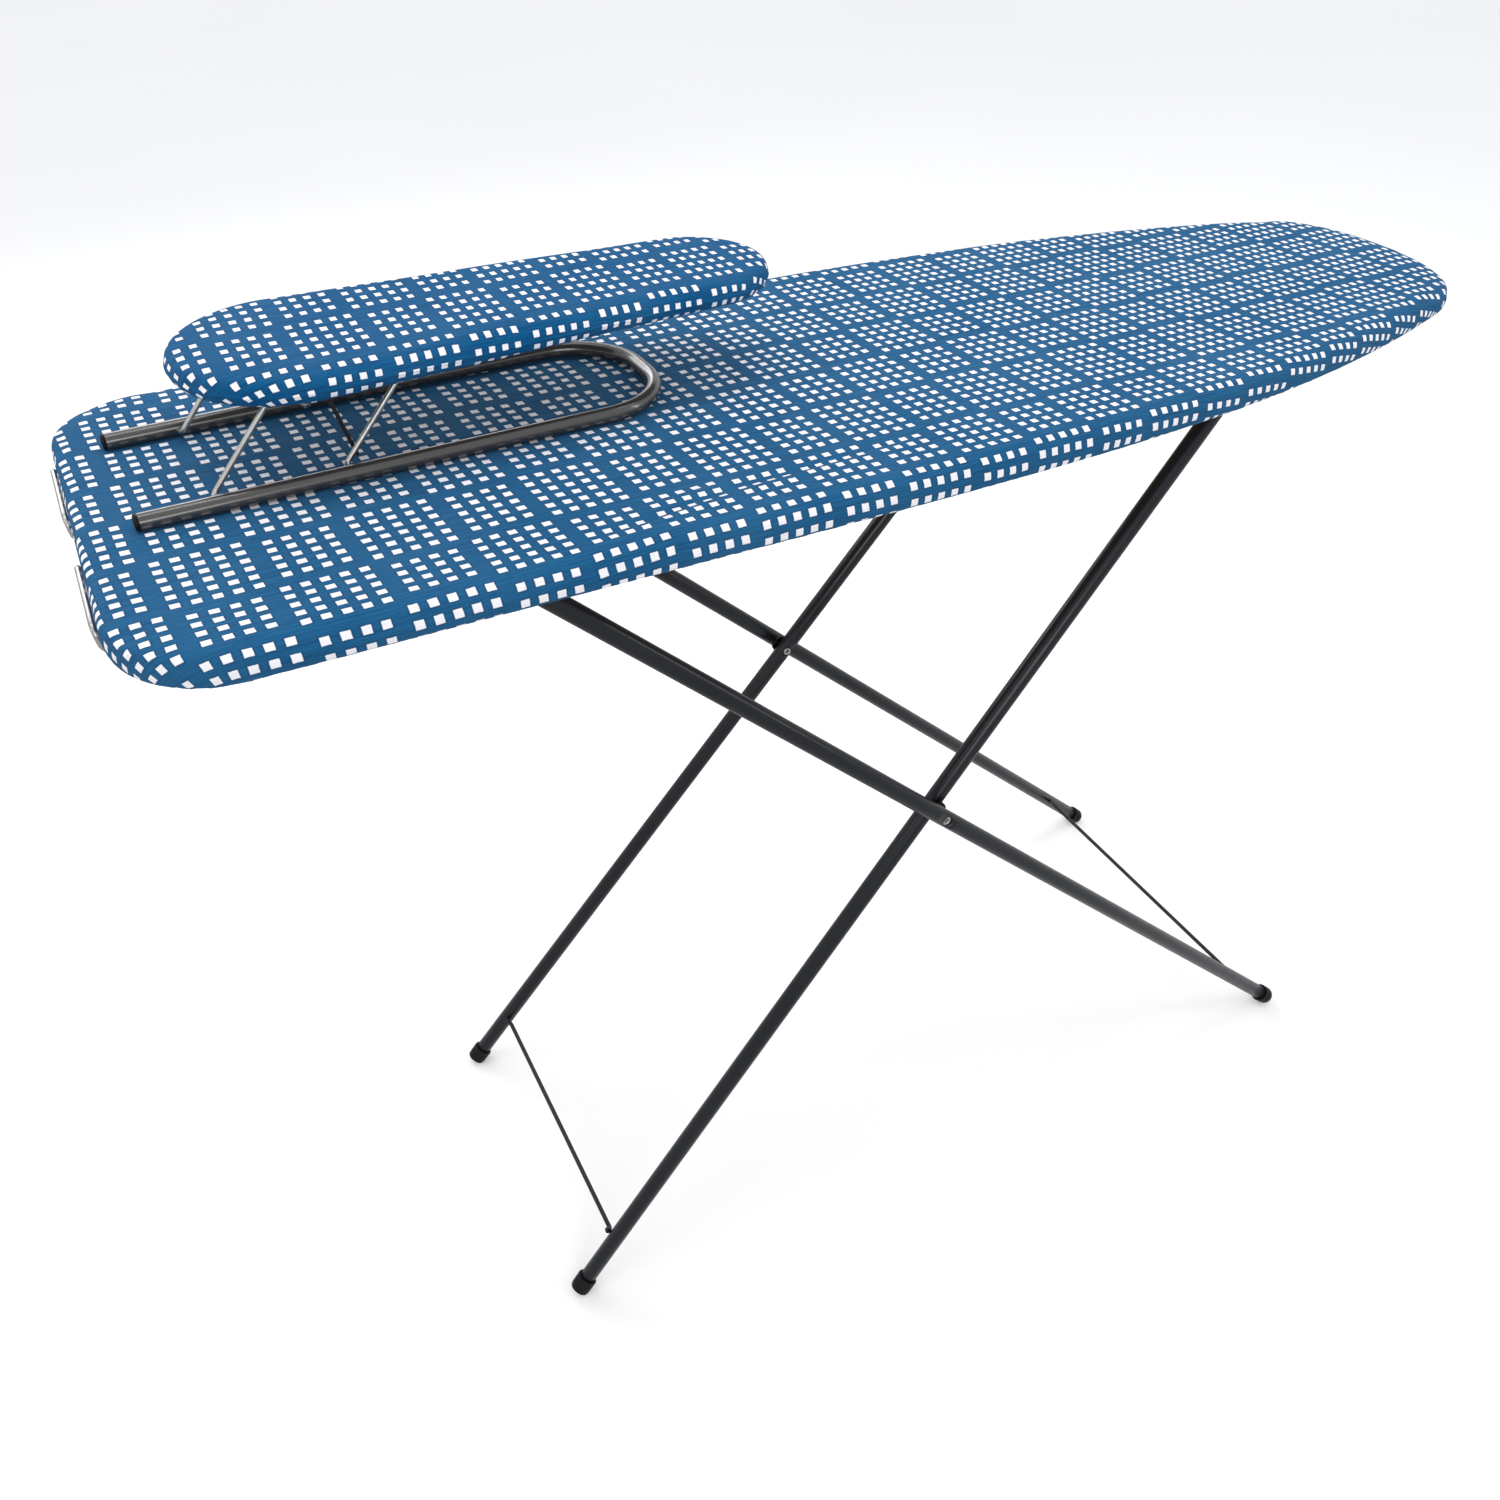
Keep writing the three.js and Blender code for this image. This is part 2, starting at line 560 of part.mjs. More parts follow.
function addLinks(group) {
  ['heel', 'nose'].forEach((name, index) => {
    const foot = LINK.feet[index];
    const topZ = FRAME_Z + LINK.rise;
    const half = (side) => [
      [foot, side * LINK.pin, FRAME_Z],
      [foot, side * LINK.halfWidth, FRAME_Z],
      [foot + LINK.run, side * LINK.halfWidth, topZ],
    ];
    const corners = [...half(-1), ...half(1).reverse()];
    piece(group, `sleeve_link_${name}`, wire(LINK.radius, corners, LINK.bend), FINISH.zinc);
  });
  const footZ = FRAME_Z + BRACE.footRise;
  const brace = wire(BRACE.radius, [
    [BRACE.footU, -BRACE.halfWidth, footZ], [BRACE.topU, -BRACE.halfWidth, BRACE.topZ],
    [BRACE.topU, BRACE.halfWidth, BRACE.topZ], [BRACE.footU, BRACE.halfWidth, footZ],
  ], BRACE.bend);
  piece(group, 'sleeve_brace_wire', brace, FINISH.blackWire);
}

function addSleeveTop(group) {
  const centreU = SLEEVE_TOP.start + SLEEVE_TOP.length / 2;
  const width = SLEEVE_TOP.heelRadius + SLEEVE_TOP.noseRadius;
  const layers = padded(sleeveShape(), SLEEVE_Z, {
    x: centreU,
    y: SLEEVE_TOP.v,
    sx: 1 - (2 * SLEEVE_Z.hem) / SLEEVE_TOP.length,
    sy: 1 - (2 * SLEEVE_Z.hem) / width,
  });
  piece(group, 'sleeve_board_core', layers.core, FINISH.wood);
  piece(group, 'sleeve_board_pad', layers.pad, FINISH.pad);
  piece(group, 'sleeve_board_cover', layers.cover, FINISH.sleeveCover);

  const flangeZ = SLEEVE_Z.bottom + COVER_THICKNESS;
  const wires = [
    { label: 'heel_link_saddle', u: LINK.feet[0] + LINK.run, z: FRAME_Z + LINK.rise, radius: LINK.radius },
    { label: 'nose_link_saddle', u: LINK.feet[1] + LINK.run, z: FRAME_Z + LINK.rise, radius: LINK.radius },
    { label: 'brace_clip', u: BRACE.topU, z: BRACE.topZ, radius: BRACE.radius },
  ];
  for (const { label, u, z, radius } of wires) {
    for (const [side, name] of [[-1, 'near'], [1, 'far']]) {
      const profile = loopProfile(u, z, flangeZ, radius + GAP, SADDLE.wall, SADDLE.flange);
      piece(group, `${label}_${name}`, acrossY(profile, side * SADDLE.v, SADDLE.width), FINISH.zinc);
    }
  }
}

// ---------------------------------------------------------------- assembly
const assembly = new THREE.Group();
addBoard(assembly);
addIronRest(assembly);
addLegPair(assembly, INNER_LEGS, 'inner', 'leg_hinge_bar');
addLegPair(assembly, OUTER_LEGS, 'outer', 'height_bar');
addCrossing(assembly);

const sleeve = new THREE.Group();
sleeve.position.set(SLEEVE.x, SLEEVE.y, 0);
sleeve.rotation.z = SLEEVE.turn;
addSleeveFrame(sleeve);
addLinks(sleeve);
addSleeveTop(sleeve);
assembly.add(sleeve);

const heelEnd = REST.lipX - REST.radius;
assembly.position.x = -(BOARD.length + heelEnd) / 2;

const part = new THREE.Group();
part.add(assembly);
export default part;
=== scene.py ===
import json
import math

import bmesh
import bpy
import numpy as np
from mathutils import Matrix, Vector, noise

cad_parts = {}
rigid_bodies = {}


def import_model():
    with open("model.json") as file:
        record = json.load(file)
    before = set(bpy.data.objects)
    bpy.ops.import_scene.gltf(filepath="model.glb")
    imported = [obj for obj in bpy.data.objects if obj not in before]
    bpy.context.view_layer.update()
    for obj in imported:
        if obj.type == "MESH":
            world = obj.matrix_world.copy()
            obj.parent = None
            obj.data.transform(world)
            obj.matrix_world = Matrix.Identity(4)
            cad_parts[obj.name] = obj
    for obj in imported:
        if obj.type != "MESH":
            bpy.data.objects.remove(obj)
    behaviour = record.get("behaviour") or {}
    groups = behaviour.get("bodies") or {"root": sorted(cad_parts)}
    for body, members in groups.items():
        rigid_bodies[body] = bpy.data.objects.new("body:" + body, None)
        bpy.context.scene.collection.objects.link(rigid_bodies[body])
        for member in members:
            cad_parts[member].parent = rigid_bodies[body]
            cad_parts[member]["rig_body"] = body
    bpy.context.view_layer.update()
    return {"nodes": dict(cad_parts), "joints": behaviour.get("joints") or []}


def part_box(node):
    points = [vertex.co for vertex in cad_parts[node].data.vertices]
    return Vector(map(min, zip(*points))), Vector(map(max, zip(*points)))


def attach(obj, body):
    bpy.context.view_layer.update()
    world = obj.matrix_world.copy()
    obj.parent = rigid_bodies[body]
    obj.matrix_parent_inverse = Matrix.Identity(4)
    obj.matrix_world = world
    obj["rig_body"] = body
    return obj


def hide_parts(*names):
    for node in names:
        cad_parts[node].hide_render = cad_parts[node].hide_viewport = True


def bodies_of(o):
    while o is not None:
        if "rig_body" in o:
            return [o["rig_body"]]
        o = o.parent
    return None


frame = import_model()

MM = 0.001

# -------------------------- places, read from the frame
BOARD_LOW, BOARD_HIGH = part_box("board_cover")
BOARD_TOP = BOARD_HIGH.z
BOARD_BOTTOM = BOARD_LOW.z
HEEL_X = BOARD_LOW.x
HALF_WIDTH = (BOARD_HIGH.y - BOARD_LOW.y) / 2
BOARD_LENGTH = BOARD_HIGH.x - BOARD_LOW.x
HEM_WIDTH = 45 * MM

# Outline of the main board: straight sides, then a long taper to a blunt round nose.
HEEL_RADIUS = 72 * MM
TAPER_START = 423 * MM
SHOULDER = (1153 * MM, 111 * MM)
SHOULDER_SLOPE = 0.3735
NOSE_FULLNESS = 0.4675
NOSE_REACH = 0.55

JOINTS = {joint["name"]: joint for joint in frame["joints"]}
SLEEVE_AXIS = Vector(JOINTS["sleeve_fold"]["axis"])
SLEEVE_TURN = math.atan2(-SLEEVE_AXIS.x, SLEEVE_AXIS.y)
SLEEVE_HEEL_RADIUS = 82 * MM
SLEEVE_NOSE_RADIUS = 61 * MM
SLEEVE_HEM = 20 * MM


def body_of(name):
    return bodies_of(frame["nodes"][name])[0]


def node_points(name):
    return np.array([v.co for v in frame["nodes"][name].data.vertices])


def turned(points, angle):
    c, s = math.cos(angle), math.sin(angle)
    out = np.array(points, float)
    x, y = out[:, 0].copy(), out[:, 1].copy()
    out[:, 0] = x * c - y * s
    out[:, 1] = x * s + y * c
    return out


def sleeve_box(name):
    """A sleeve board node's box along its own length and width: lowest and highest (u, v, z)."""
    local = turned(node_points(name), -SLEEVE_TURN)
    return local.min(0), local.max(0)


def from_sleeve(points):
    return turned(points, SLEEVE_TURN)


# -------------------------- mesh tools
def mesh_object(name, vertices, faces, smooth=True):
    mesh = bpy.data.meshes.new(name)
    mesh.from_pydata([tuple(v) for v in vertices], [], faces)
    mesh.update()
    shape = bpy.data.objects.new(name, mesh)
    bpy.context.collection.objects.link(shape)
    if smooth:
        mesh.polygons.foreach_set("use_smooth", [True] * len(mesh.polygons))
    return shape


def outward(shape):
    build = bmesh.new()
    build.from_mesh(shape.data)
    bmesh.ops.recalc_face_normals(build, faces=build.faces)
    build.to_mesh(shape.data)
    build.free()
    return shape


def bent_path(corners, bend, steps=10):
    """Straight runs between corners, joined by round bends, as a list of points."""
    corners = [Vector(c) for c in corners]
    points = [corners[0]]
    for before, corner, after in zip(corners, corners[1:], corners[2:]):
        arrive = (corner - before).normalized()
        leave = (after - corner).normalized()
        angle = arrive.angle(leave)
        start = corner - arrive * bend * math.tan(angle / 2)
        side = (leave - arrive * leave.dot(arrive)).normalized()
        for step in range(steps + 1):
            a = angle * step / steps
            points.append(start + arrive * bend * math.sin(a) + side * bend * (1 - math.cos(a)))
    points.append(corners[-1])
    return points


def subdivided(points, spacing):
    """The same polyline with extra points, so that no step is longer than spacing."""
    out = [points[0]]
    for a, b in zip(points, points[1:]):
        count = max(1, math.ceil((b - a).length / spacing))
        out += [a.lerp(b, (k + 1) / count) for k in range(count)]
    return out


def sweep(name, points, radius, sides=28, rounding=0.35):
    """A round bar along points, its two ends edged with a small radius."""
    points = [Vector(p) for p in points]
    tangents = []
    for index in range(len(points)):
        before = points[max(index - 1, 0)]
        after = points[min(index + 1, len(points) - 1)]
        tangents.append((after - before).normalized())
    normal = tangents[0].orthogonal().normalized()
    edge = radius * rounding
    stations = []
    for share in (0.0, 0.3, 0.65):
        stations.append((points[0] + tangents[0] * edge * share, tangents[0],
                         radius - edge * (1 - math.sqrt(1 - (1 - share) ** 2))))
    stations.append((points[0] + tangents[0] * edge, tangents[0], radius))
    stations += [(p, t, radius) for p, t in zip(points[1:-1], tangents[1:-1])]
    stations.append((points[-1] - tangents[-1] * edge, tangents[-1], radius))
    for share in (0.65, 0.3, 0.0):
        stations.append((points[-1] - tangents[-1] * edge * share, tangents[-1],
                         radius - edge * (1 - math.sqrt(1 - (1 - share) ** 2))))
    vertices, faces = [], []
    last = tangents[0]
    for place, tangent, r in stations:
        normal = last.rotation_difference(tangent) @ normal
        normal = (normal - tangent * normal.dot(tangent)).normalized()
        last = tangent
        side = tangent.cross(normal)
        for k in range(sides):
            a = 2 * math.pi * k / sides
            vertices.append(place + (normal * math.cos(a) + side * math.sin(a)) * r)
    for ring in range(len(stations) - 1):
        for k in range(sides):
            a, b = ring * sides + k, ring * sides + (k + 1) % sides
            faces.append((a, b, b + sides, a + sides))
    faces.append(tuple(reversed(range(sides))))
    faces.append(tuple(range((len(stations) - 1) * sides, len(stations) * sides)))
    return mesh_object(name, vertices, faces)


def revolve(name, profile, start, direction, sides=48):
    """A solid of revolution: profile is (radius, distance) pairs from start along direction."""
    start, direction = Vector(start), Vector(direction).normalized()
    normal = direction.orthogonal().normalized()
    side = direction.cross(normal)
    vertices, faces, rings = [], [], []
    for radius, along in profile:
        centre = start + direction * along
        if radius < 1e-7:
            rings.append([len(vertices)])
            vertices.append(centre)
            continue
        rings.append(list(range(len(vertices), len(vertices) + sides)))
        for k in range(sides):
            a = 2 * math.pi * k / sides
            vertices.append(centre + (normal * math.cos(a) + side * math.sin(a)) * radius)
    for low, high in zip(rings, rings[1:]):
        for k in range(sides):
            n = (k + 1) % sides
            corners = [low[k % len(low)], low[n % len(low)], high[n % len(high)], high[k % len(high)]]
            unique = list(dict.fromkeys(corners))
            if len(unique) > 2:
                faces.append(tuple(unique))
    if len(rings[0]) > 1 and profile[0] != profile[-1]:
        faces.append(tuple(reversed(rings[0])))
        faces.append(tuple(rings[-1]))
    shape = mesh_object(name, vertices, faces)
    if profile[0] == profile[-1]:
        weld(shape, 1e-6)
    return outward(shape)


def weld(shape, distance):
    build = bmesh.new()
    build.from_mesh(shape.data)
    bmesh.ops.remove_doubles(build, verts=build.verts, dist=distance)
    build.to_mesh(shape.data)
    build.free()
    return shape


def apply_modifiers(shape):
    graph = bpy.context.evaluated_depsgraph_get()
    mesh = bpy.data.meshes.new_from_object(shape.evaluated_get(graph), depsgraph=graph)
    old = shape.data
    shape.modifiers.clear()
    shape.data = mesh
    mesh.name = shape.name
    bpy.data.meshes.remove(old)
    return shape


def dress(shape, material):
    shape.data.materials.clear()
    shape.data.materials.append(material)
    return shape


def place(shape, body, material, slot, *nodes):
    dress(shape, material)
    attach(shape, body)
    if nodes:
        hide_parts(*nodes)
    return shape


# -------------------------- node tools
class Nodes:
    """A material's node tree, built by short calls that return the node's first output."""

    def __init__(self, name):
        self.material = bpy.data.materials.new(name)
        self.material.use_nodes = True
        self.tree = self.material.node_tree
        self.shader = self.tree.nodes["Principled BSDF"]

    def add(self, kind, values=None, output=0, **settings):
        node = self.tree.nodes.new(kind)
        for key, value in settings.items():
            setattr(node, key, value)
        for key, value in (values or {}).items():
            self.join(value, node.inputs[key])
        return node.outputs[output]

    def join(self, value, socket):
        if isinstance(value, bpy.types.NodeSocket):
            self.tree.links.new(value, socket)
        else:
            socket.default_value = value

    def math(self, operation, a, b=0.0, c=0.0, clamp=False):
        return self.add("ShaderNodeMath", {0: a, 1: b, 2: c}, operation=operation, use_clamp=clamp)

    def mix(self, share, a, b, blend="MIX"):
        return self.add("ShaderNodeMix", {0: share, 6: a, 7: b}, output=2, data_type="RGBA",
                        blend_type=blend)

    def ramp(self, value, low, high, to_low=0.0, to_high=1.0):
        return self.add("ShaderNodeMapRange", {0: value, 1: low, 2: high, 3: to_low, 4: to_high})

    def noise(self, vector, scale, detail=3.0, rough=0.5, output=0):
        return self.add("ShaderNodeTexNoise",
                        {"Vector": vector, "Scale": scale, "Detail": detail, "Roughness": rough},
                        output=output)

    def stretch(self, vector, x, y, z=1.0):
        return self.add("ShaderNodeMapping", {"Vector": vector, "Scale": (x, y, z)})

    def place(self):
        return self.add("ShaderNodeTexCoord", output=3)

    def bump(self, height, strength, distance, normal=None):
        values = {"Height": height, "Strength": strength, "Distance": distance}
        if normal is not None:
            values["Normal"] = normal
        return self.add("ShaderNodeBump", values)

    def finish(self, color, roughness, normal=None, **constants):
        self.join(color, self.shader.inputs["Base Color"])
        self.join(roughness, self.shader.inputs["Roughness"])
        if normal is not None:
            self.join(normal, self.shader.inputs["Normal"])
        for name, value in constants.items():
            self.shader.inputs[name.replace("_", " ")].default_value = value
        return self.material


def rgb(red, green, blue):
    """A linear colour from an 8-bit screen colour."""
    def linear(value):
        share = value / 255
        return share / 12.92 if share <= 0.04045 else ((share + 0.055) / 1.055) ** 2.4
    return (linear(red), linear(green), linear(blue), 1.0)


# -------------------------- materials
CELL = 5                    # squares of the print to one cell of its check
TALL_CELL_START = 20        # the one band of cells that is six squares tall
THREAD = 0.55               # threads of the weave, in mm
PRINT_MM = 11.4             # one square of the print, on the cloth


def printed_cotton(name, ground, deep, square_share):
    """Blue cotton printed with white squares, in checks of 5 by 5 and of 4 by 4 squares."""
    n = Nodes(name)
    uv = n.add("ShaderNodeUVMap", uv_map="print")
    wander = n.noise(uv, 0.35, 2.0, output=1)
    offset = n.add("ShaderNodeVectorMath", {0: wander, 1: (0.5, 0.5, 0.5)}, operation="SUBTRACT")
    small = n.add("ShaderNodeVectorMath", {0: offset, "Scale": 0.18}, operation="SCALE")
    moved = n.add("ShaderNodeVectorMath", {0: uv, 1: small}, operation="ADD")
    parts = n.add("ShaderNodeSeparateXYZ", {0: moved})
    u, v = parts, parts.node.outputs[1]

    cell_u = n.math("FLOOR", n.math("DIVIDE", u, CELL))
    in_u = n.math("SUBTRACT", u, n.math("MULTIPLY", cell_u, CELL))
    past = n.math("GREATER_THAN", v, TALL_CELL_START + CELL + 1)
    in_tall = n.math("MULTIPLY", n.math("GREATER_THAN", v, TALL_CELL_START), n.math("SUBTRACT", 1.0, past))
    v_even = n.math("SUBTRACT", v, past)
    cell_v = n.math("FLOOR", n.math("DIVIDE", v_even, CELL))
    cell_v = n.math("ADD", n.math("MULTIPLY", cell_v, n.math("SUBTRACT", 1.0, in_tall)),
                    n.math("MULTIPLY", in_tall, TALL_CELL_START / CELL))
    in_v = n.math("SUBTRACT", v_even, n.math("MULTIPLY", cell_v, CELL))
    rows = n.math("ADD", in_tall, CELL)

    parity = n.math("FLOORED_MODULO", n.math("ADD", cell_u, cell_v), 2.0)
    shift = n.math("MULTIPLY", parity, 0.5)

    def inside(position, count):
        shifted = n.math("ADD", position, shift)
        local = n.math("ABSOLUTE", n.math("SUBTRACT", n.math("FRACT", shifted), 0.5))
        low = n.math("GREATER_THAN", position, shift)
        high = n.math("LESS_THAN", position, n.math("SUBTRACT", count, shift))
        return local, n.math("MULTIPLY", low, high)

    rag = n.noise(uv, 5.5, 3.0, 0.7)
    edge = n.ramp(rag, 0.3, 0.7, -0.012, 0.012)
    du, keep_u = inside(in_u, float(CELL))
    dv, keep_v = inside(in_v, rows)
    far = n.math("ADD", n.math("MAXIMUM", du, dv), edge)
    half = square_share / 2
    keep = n.math("MULTIPLY", keep_u, keep_v)
    square = n.math("MULTIPLY", n.ramp(far, half + 0.02, half - 0.02), keep)
    halo = n.math("MULTIPLY", n.ramp(far, half + 0.12, half + 0.03), keep)

    scale = PRINT_MM / THREAD
    warp = n.add("ShaderNodeTexWave", {"Vector": n.stretch(uv, scale, 0.25), "Scale": 0.5, "Distortion": 0.6,
                                       "Detail": 1.0, "Detail Scale": 2.0}, output=1, bands_direction="X")
    weft = n.add("ShaderNodeTexWave", {"Vector": n.stretch(uv, 0.25, scale), "Scale": 0.5, "Distortion": 0.6,
                                       "Detail": 1.0, "Detail Scale": 2.0}, output=1, bands_direction="Y")
    weave = n.math("MAXIMUM", warp, weft)
    slub = n.noise(n.stretch(uv, 0.25, 6.0), 1.2, 4.0, 0.65)
    slub_across = n.noise(n.stretch(uv, 7.0, 0.4), 1.1, 3.0, 0.6)
    fade = n.noise(uv, 0.12, 2.0)
    fuzz = n.noise(uv, 14.0, 2.0, 0.7)

    blue = n.mix(n.ramp(slub, 0.35, 0.68), deep, ground)
    blue = n.mix(n.ramp(slub_across, 0.4, 0.75, 0.0, 0.22), blue, ground)
    blue = n.mix(n.ramp(fade, 0.35, 0.7, 0.0, 0.2), blue, rgb(66, 120, 160))
    blue = n.mix(n.ramp(fuzz, 0.35, 0.75, 0.0, 0.28), blue, deep)
    blue = n.mix(n.math("MULTIPLY", halo, 0.45), blue, rgb(12, 40, 72))
    white = n.mix(n.ramp(slub, 0.3, 0.7, 0.0, 0.5), rgb(252, 252, 255), rgb(226, 224, 238))
    color = n.mix(square, blue, white)
    color = n.mix(n.ramp(weave, 0.0, 0.8, 0.22, 0.0), color, rgb(16, 38, 66))

    grain = n.bump(weave, 0.35, 0.00025)
    streaks = n.bump(slub, 0.35, 0.0005, grain)
    ink = n.bump(square, 0.15, 0.0001, streaks)
    return n.finish(color, n.ramp(slub, 0.2, 0.8, 0.95, 0.8), ink,
                    Sheen_Weight=0.03, Sheen_Roughness=0.5, Specular_IOR_Level=0.08)


def plain_cloth(name, color, dark):
    n = Nodes(name)
    place = n.place()
    threads = n.add("ShaderNodeTexWave", {"Vector": place, "Scale": 450.0, "Distortion": 1.5, "Detail": 2.0},
                    output=1, bands_direction="DIAGONAL")
    mottle = n.noise(place, 260.0, 4.0)
    shade = n.mix(n.ramp(threads, 0.1, 0.9, 0.5, 0.0), color, dark)
    shade = n.mix(n.ramp(mottle, 0.35, 0.7, 0.0, 0.4), shade, dark)
    return n.finish(shade, 0.95, n.bump(threads, 0.4, 0.0003), Sheen_Weight=0.15)


def painted(name, color, edge, roughness, metallic, coat, wear=1.0, specular=0.5):
    """Powder coat or enamel on tube: slight orange peel, faint dust and rubs."""
    n = Nodes(name)
    place = n.place()
    peel = n.noise(place, 900.0, 2.0, 0.5)
    rubs = n.noise(place, 90.0, 4.0, 0.6)
    cloud = n.noise(place, 7.0, 2.0)
    fine = n.noise(place, 520.0, 3.0, 0.7)
    shade = n.mix(n.ramp(cloud, 0.35, 0.65, 0.0, 0.25 * wear), color, edge)
    shade = n.mix(n.ramp(rubs, 0.55, 0.8, 0.0, 0.25 * wear), shade, edge)
    shade = n.mix(n.ramp(fine, 0.6, 0.8, 0.0, 0.2 * wear), shade, edge)
    rough = n.math("ADD", n.ramp(rubs, 0.4, 0.75, 0.0, 0.07 * wear), roughness)
    return n.finish(shade, rough, n.bump(peel, 0.04 * wear, 0.00005), Metallic=metallic, Coat_Weight=coat,
                    Coat_Roughness=0.1, Specular_IOR_Level=specular)


def zinc_plate(name, color, stain):
    n = Nodes(name)
    place = n.place()
    drawn = n.noise(n.stretch(place, 60.0, 900.0, 60.0), 1.0, 3.0, 0.6)
    spots = n.noise(place, 240.0, 4.0, 0.7)
    cloud = n.noise(place, 18.0, 3.0)
    shade = n.mix(n.ramp(cloud, 0.35, 0.7, 0.0, 0.6), color, stain)
    shade = n.mix(n.ramp(spots, 0.58, 0.75, 0.0, 0.5), shade, stain)
    rough = n.ramp(spots, 0.3, 0.75, 0.26, 0.46)
    return n.finish(shade, rough, n.bump(drawn, 0.12, 0.0001), Metallic=1.0)


def plastic(name, color, light, roughness):
    n = Nodes(name)
    place = n.place()
    grain = n.noise(place, 1400.0, 2.0, 0.6)
    dust = n.noise(place, 70.0, 4.0, 0.65)
    scuff = n.noise(n.stretch(place, 1.0, 1.0, 5.0), 55.0, 4.0, 0.7)
    shade = n.mix(n.ramp(dust, 0.5, 0.8, 0.0, 0.35), color, light)
    shade = n.mix(n.ramp(scuff, 0.62, 0.75, 0.0, 0.3), shade, light)
    rough = n.math("ADD", n.ramp(dust, 0.3, 0.8, -0.05, 0.18), roughness)
    return n.finish(shade, rough, n.bump(grain, 0.2, 0.0001), Specular_IOR_Level=0.2)


def chipboard(name):
    n = Nodes(name)
    place = n.place()
    chips = n.add("ShaderNodeTexVoronoi", {"Vector": n.stretch(place, 1.0, 1.7), "Scale": 260.0}, output=1)
    tone = n.add("ShaderNodeSeparateColor", {0: chips})
    cloud = n.noise(place, 9.0, 4.0)
    shade = n.mix(n.ramp(tone, 0.0, 1.0), rgb(168, 136, 96), rgb(206, 178, 134))
    shade = n.mix(n.ramp(cloud, 0.35, 0.7, 0.0, 0.35), shade, rgb(146, 112, 74))
    dark = n.noise(place, 520.0, 3.0, 0.7)
    shade = n.mix(n.ramp(dark, 0.62, 0.74, 0.0, 0.5), shade, rgb(104, 74, 44))
    return n.finish(shade, 0.78, n.bump(tone, 0.3, 0.0003))


COTTON = printed_cotton("board_cotton", rgb(33, 100, 145), rgb(20, 76, 117), 0.49)
SLEEVE_COTTON = printed_cotton("sleeve_cotton", rgb(8, 92, 142), rgb(4, 70, 114), 0.45)
BINDING = plain_cloth("binding_tape", rgb(236, 236, 240), rgb(176, 178, 188))
LEG_PAINT = painted("anthracite_powder", rgb(17, 20, 25), rgb(36, 39, 44), 0.3, 0.0, 0.2, specular=0.22)
FRAME_PAINT = painted("grey_enamel", rgb(72, 70, 69), rgb(90, 88, 87), 0.24, 0.5, 0.7, wear=0.4)
BLACK_WIRE = painted("black_wire", rgb(24, 24, 26), rgb(48, 48, 50), 0.42, 0.1, 0.1, specular=0.3)
ZINC = zinc_plate("bright_zinc", (0.50, 0.49, 0.47, 1.0), (0.34, 0.34, 0.33, 1.0))
BLACK_PLASTIC = plastic("black_plastic", rgb(10, 10, 11), rgb(34, 34, 36), 0.42)
CHIPBOARD = chipboard("chipboard")


# -------------------------- outlines
def bezier(a, b, c, d, steps):
    t = np.linspace(0, 1, steps, endpoint=False)[:, None]
    a, b, c, d = (np.array(p, float) for p in (a, b, c, d))
    return a * (1 - t) ** 3 + 3 * b * t * (1 - t) ** 2 + 3 * c * t * t * (1 - t) + d * t ** 3


def arc(centre, radius, start, end, steps):
    a = np.linspace(start, end, steps, endpoint=False)
    return np.c_[centre[0] + radius * np.cos(a), centre[1] + radius * np.sin(a)]


def even(points, count):
    """A closed outline resampled to count evenly spaced points, with outward normals."""
    loop = np.r_[points, points[:1]]
    step = np.r_[0, np.cumsum(np.hypot(*np.diff(loop, axis=0).T))]
    at = np.linspace(0, step[-1], count, endpoint=False)
    even_points = np.c_[np.interp(at, step, loop[:, 0]), np.interp(at, step, loop[:, 1])]
    tangent = np.roll(even_points, -2, 0) - np.roll(even_points, 2, 0)
    tangent /= np.hypot(*tangent.T)[:, None]
    return even_points, np.c_[tangent[:, 1], -tangent[:, 0]]


def board_outline(count):
    w, (sx, sy) = HALF_WIDTH, SHOULDER
    third = (sx - TAPER_START) / 3
    turn = NOSE_REACH * (BOARD_LENGTH - sx)
    tip = NOSE_FULLNESS * sy
    taper = [(TAPER_START, -w), (TAPER_START + third, -w),
             (sx - third, -sy - third * SHOULDER_SLOPE), (sx, -sy)]
    nose = [(sx, -sy), (sx + turn, -sy + turn * SHOULDER_SLOPE), (BOARD_LENGTH, -tip), (BOARD_LENGTH, 0)]
    mirror = [[(x, -y) for x, y in reversed(curve)] for curve in (nose, taper)]
    parts = [bezier(*curve, 200) for curve in (taper, nose, *mirror)]
    parts.append(np.array([[TAPER_START, w]]))
    parts.append(arc((HEEL_RADIUS, w - HEEL_RADIUS), HEEL_RADIUS, math.pi / 2, math.pi, 60))
    parts.append(arc((HEEL_RADIUS, HEEL_RADIUS - w), HEEL_RADIUS, math.pi, 1.5 * math.pi, 60))
    points, normals = even(np.concatenate(parts), count)
    return points + [HEEL_X, 0], normals


def sleeve_outline(count):
    low, high = sleeve_box("sleeve_board_cover")
    v = (low[1] + high[1]) / 2
    heel, nose = low[0] + SLEEVE_HEEL_RADIUS, high[0] - SLEEVE_NOSE_RADIUS
    lean = math.acos((SLEEVE_HEEL_RADIUS - SLEEVE_NOSE_RADIUS) / (nose - heel))
    points = np.concatenate([
        arc((nose, v), SLEEVE_NOSE_RADIUS, -lean, lean, 120),
        arc((heel, v), SLEEVE_HEEL_RADIUS, lean, 2 * math.pi - lean, 160),
    ])
    return even(points, count)


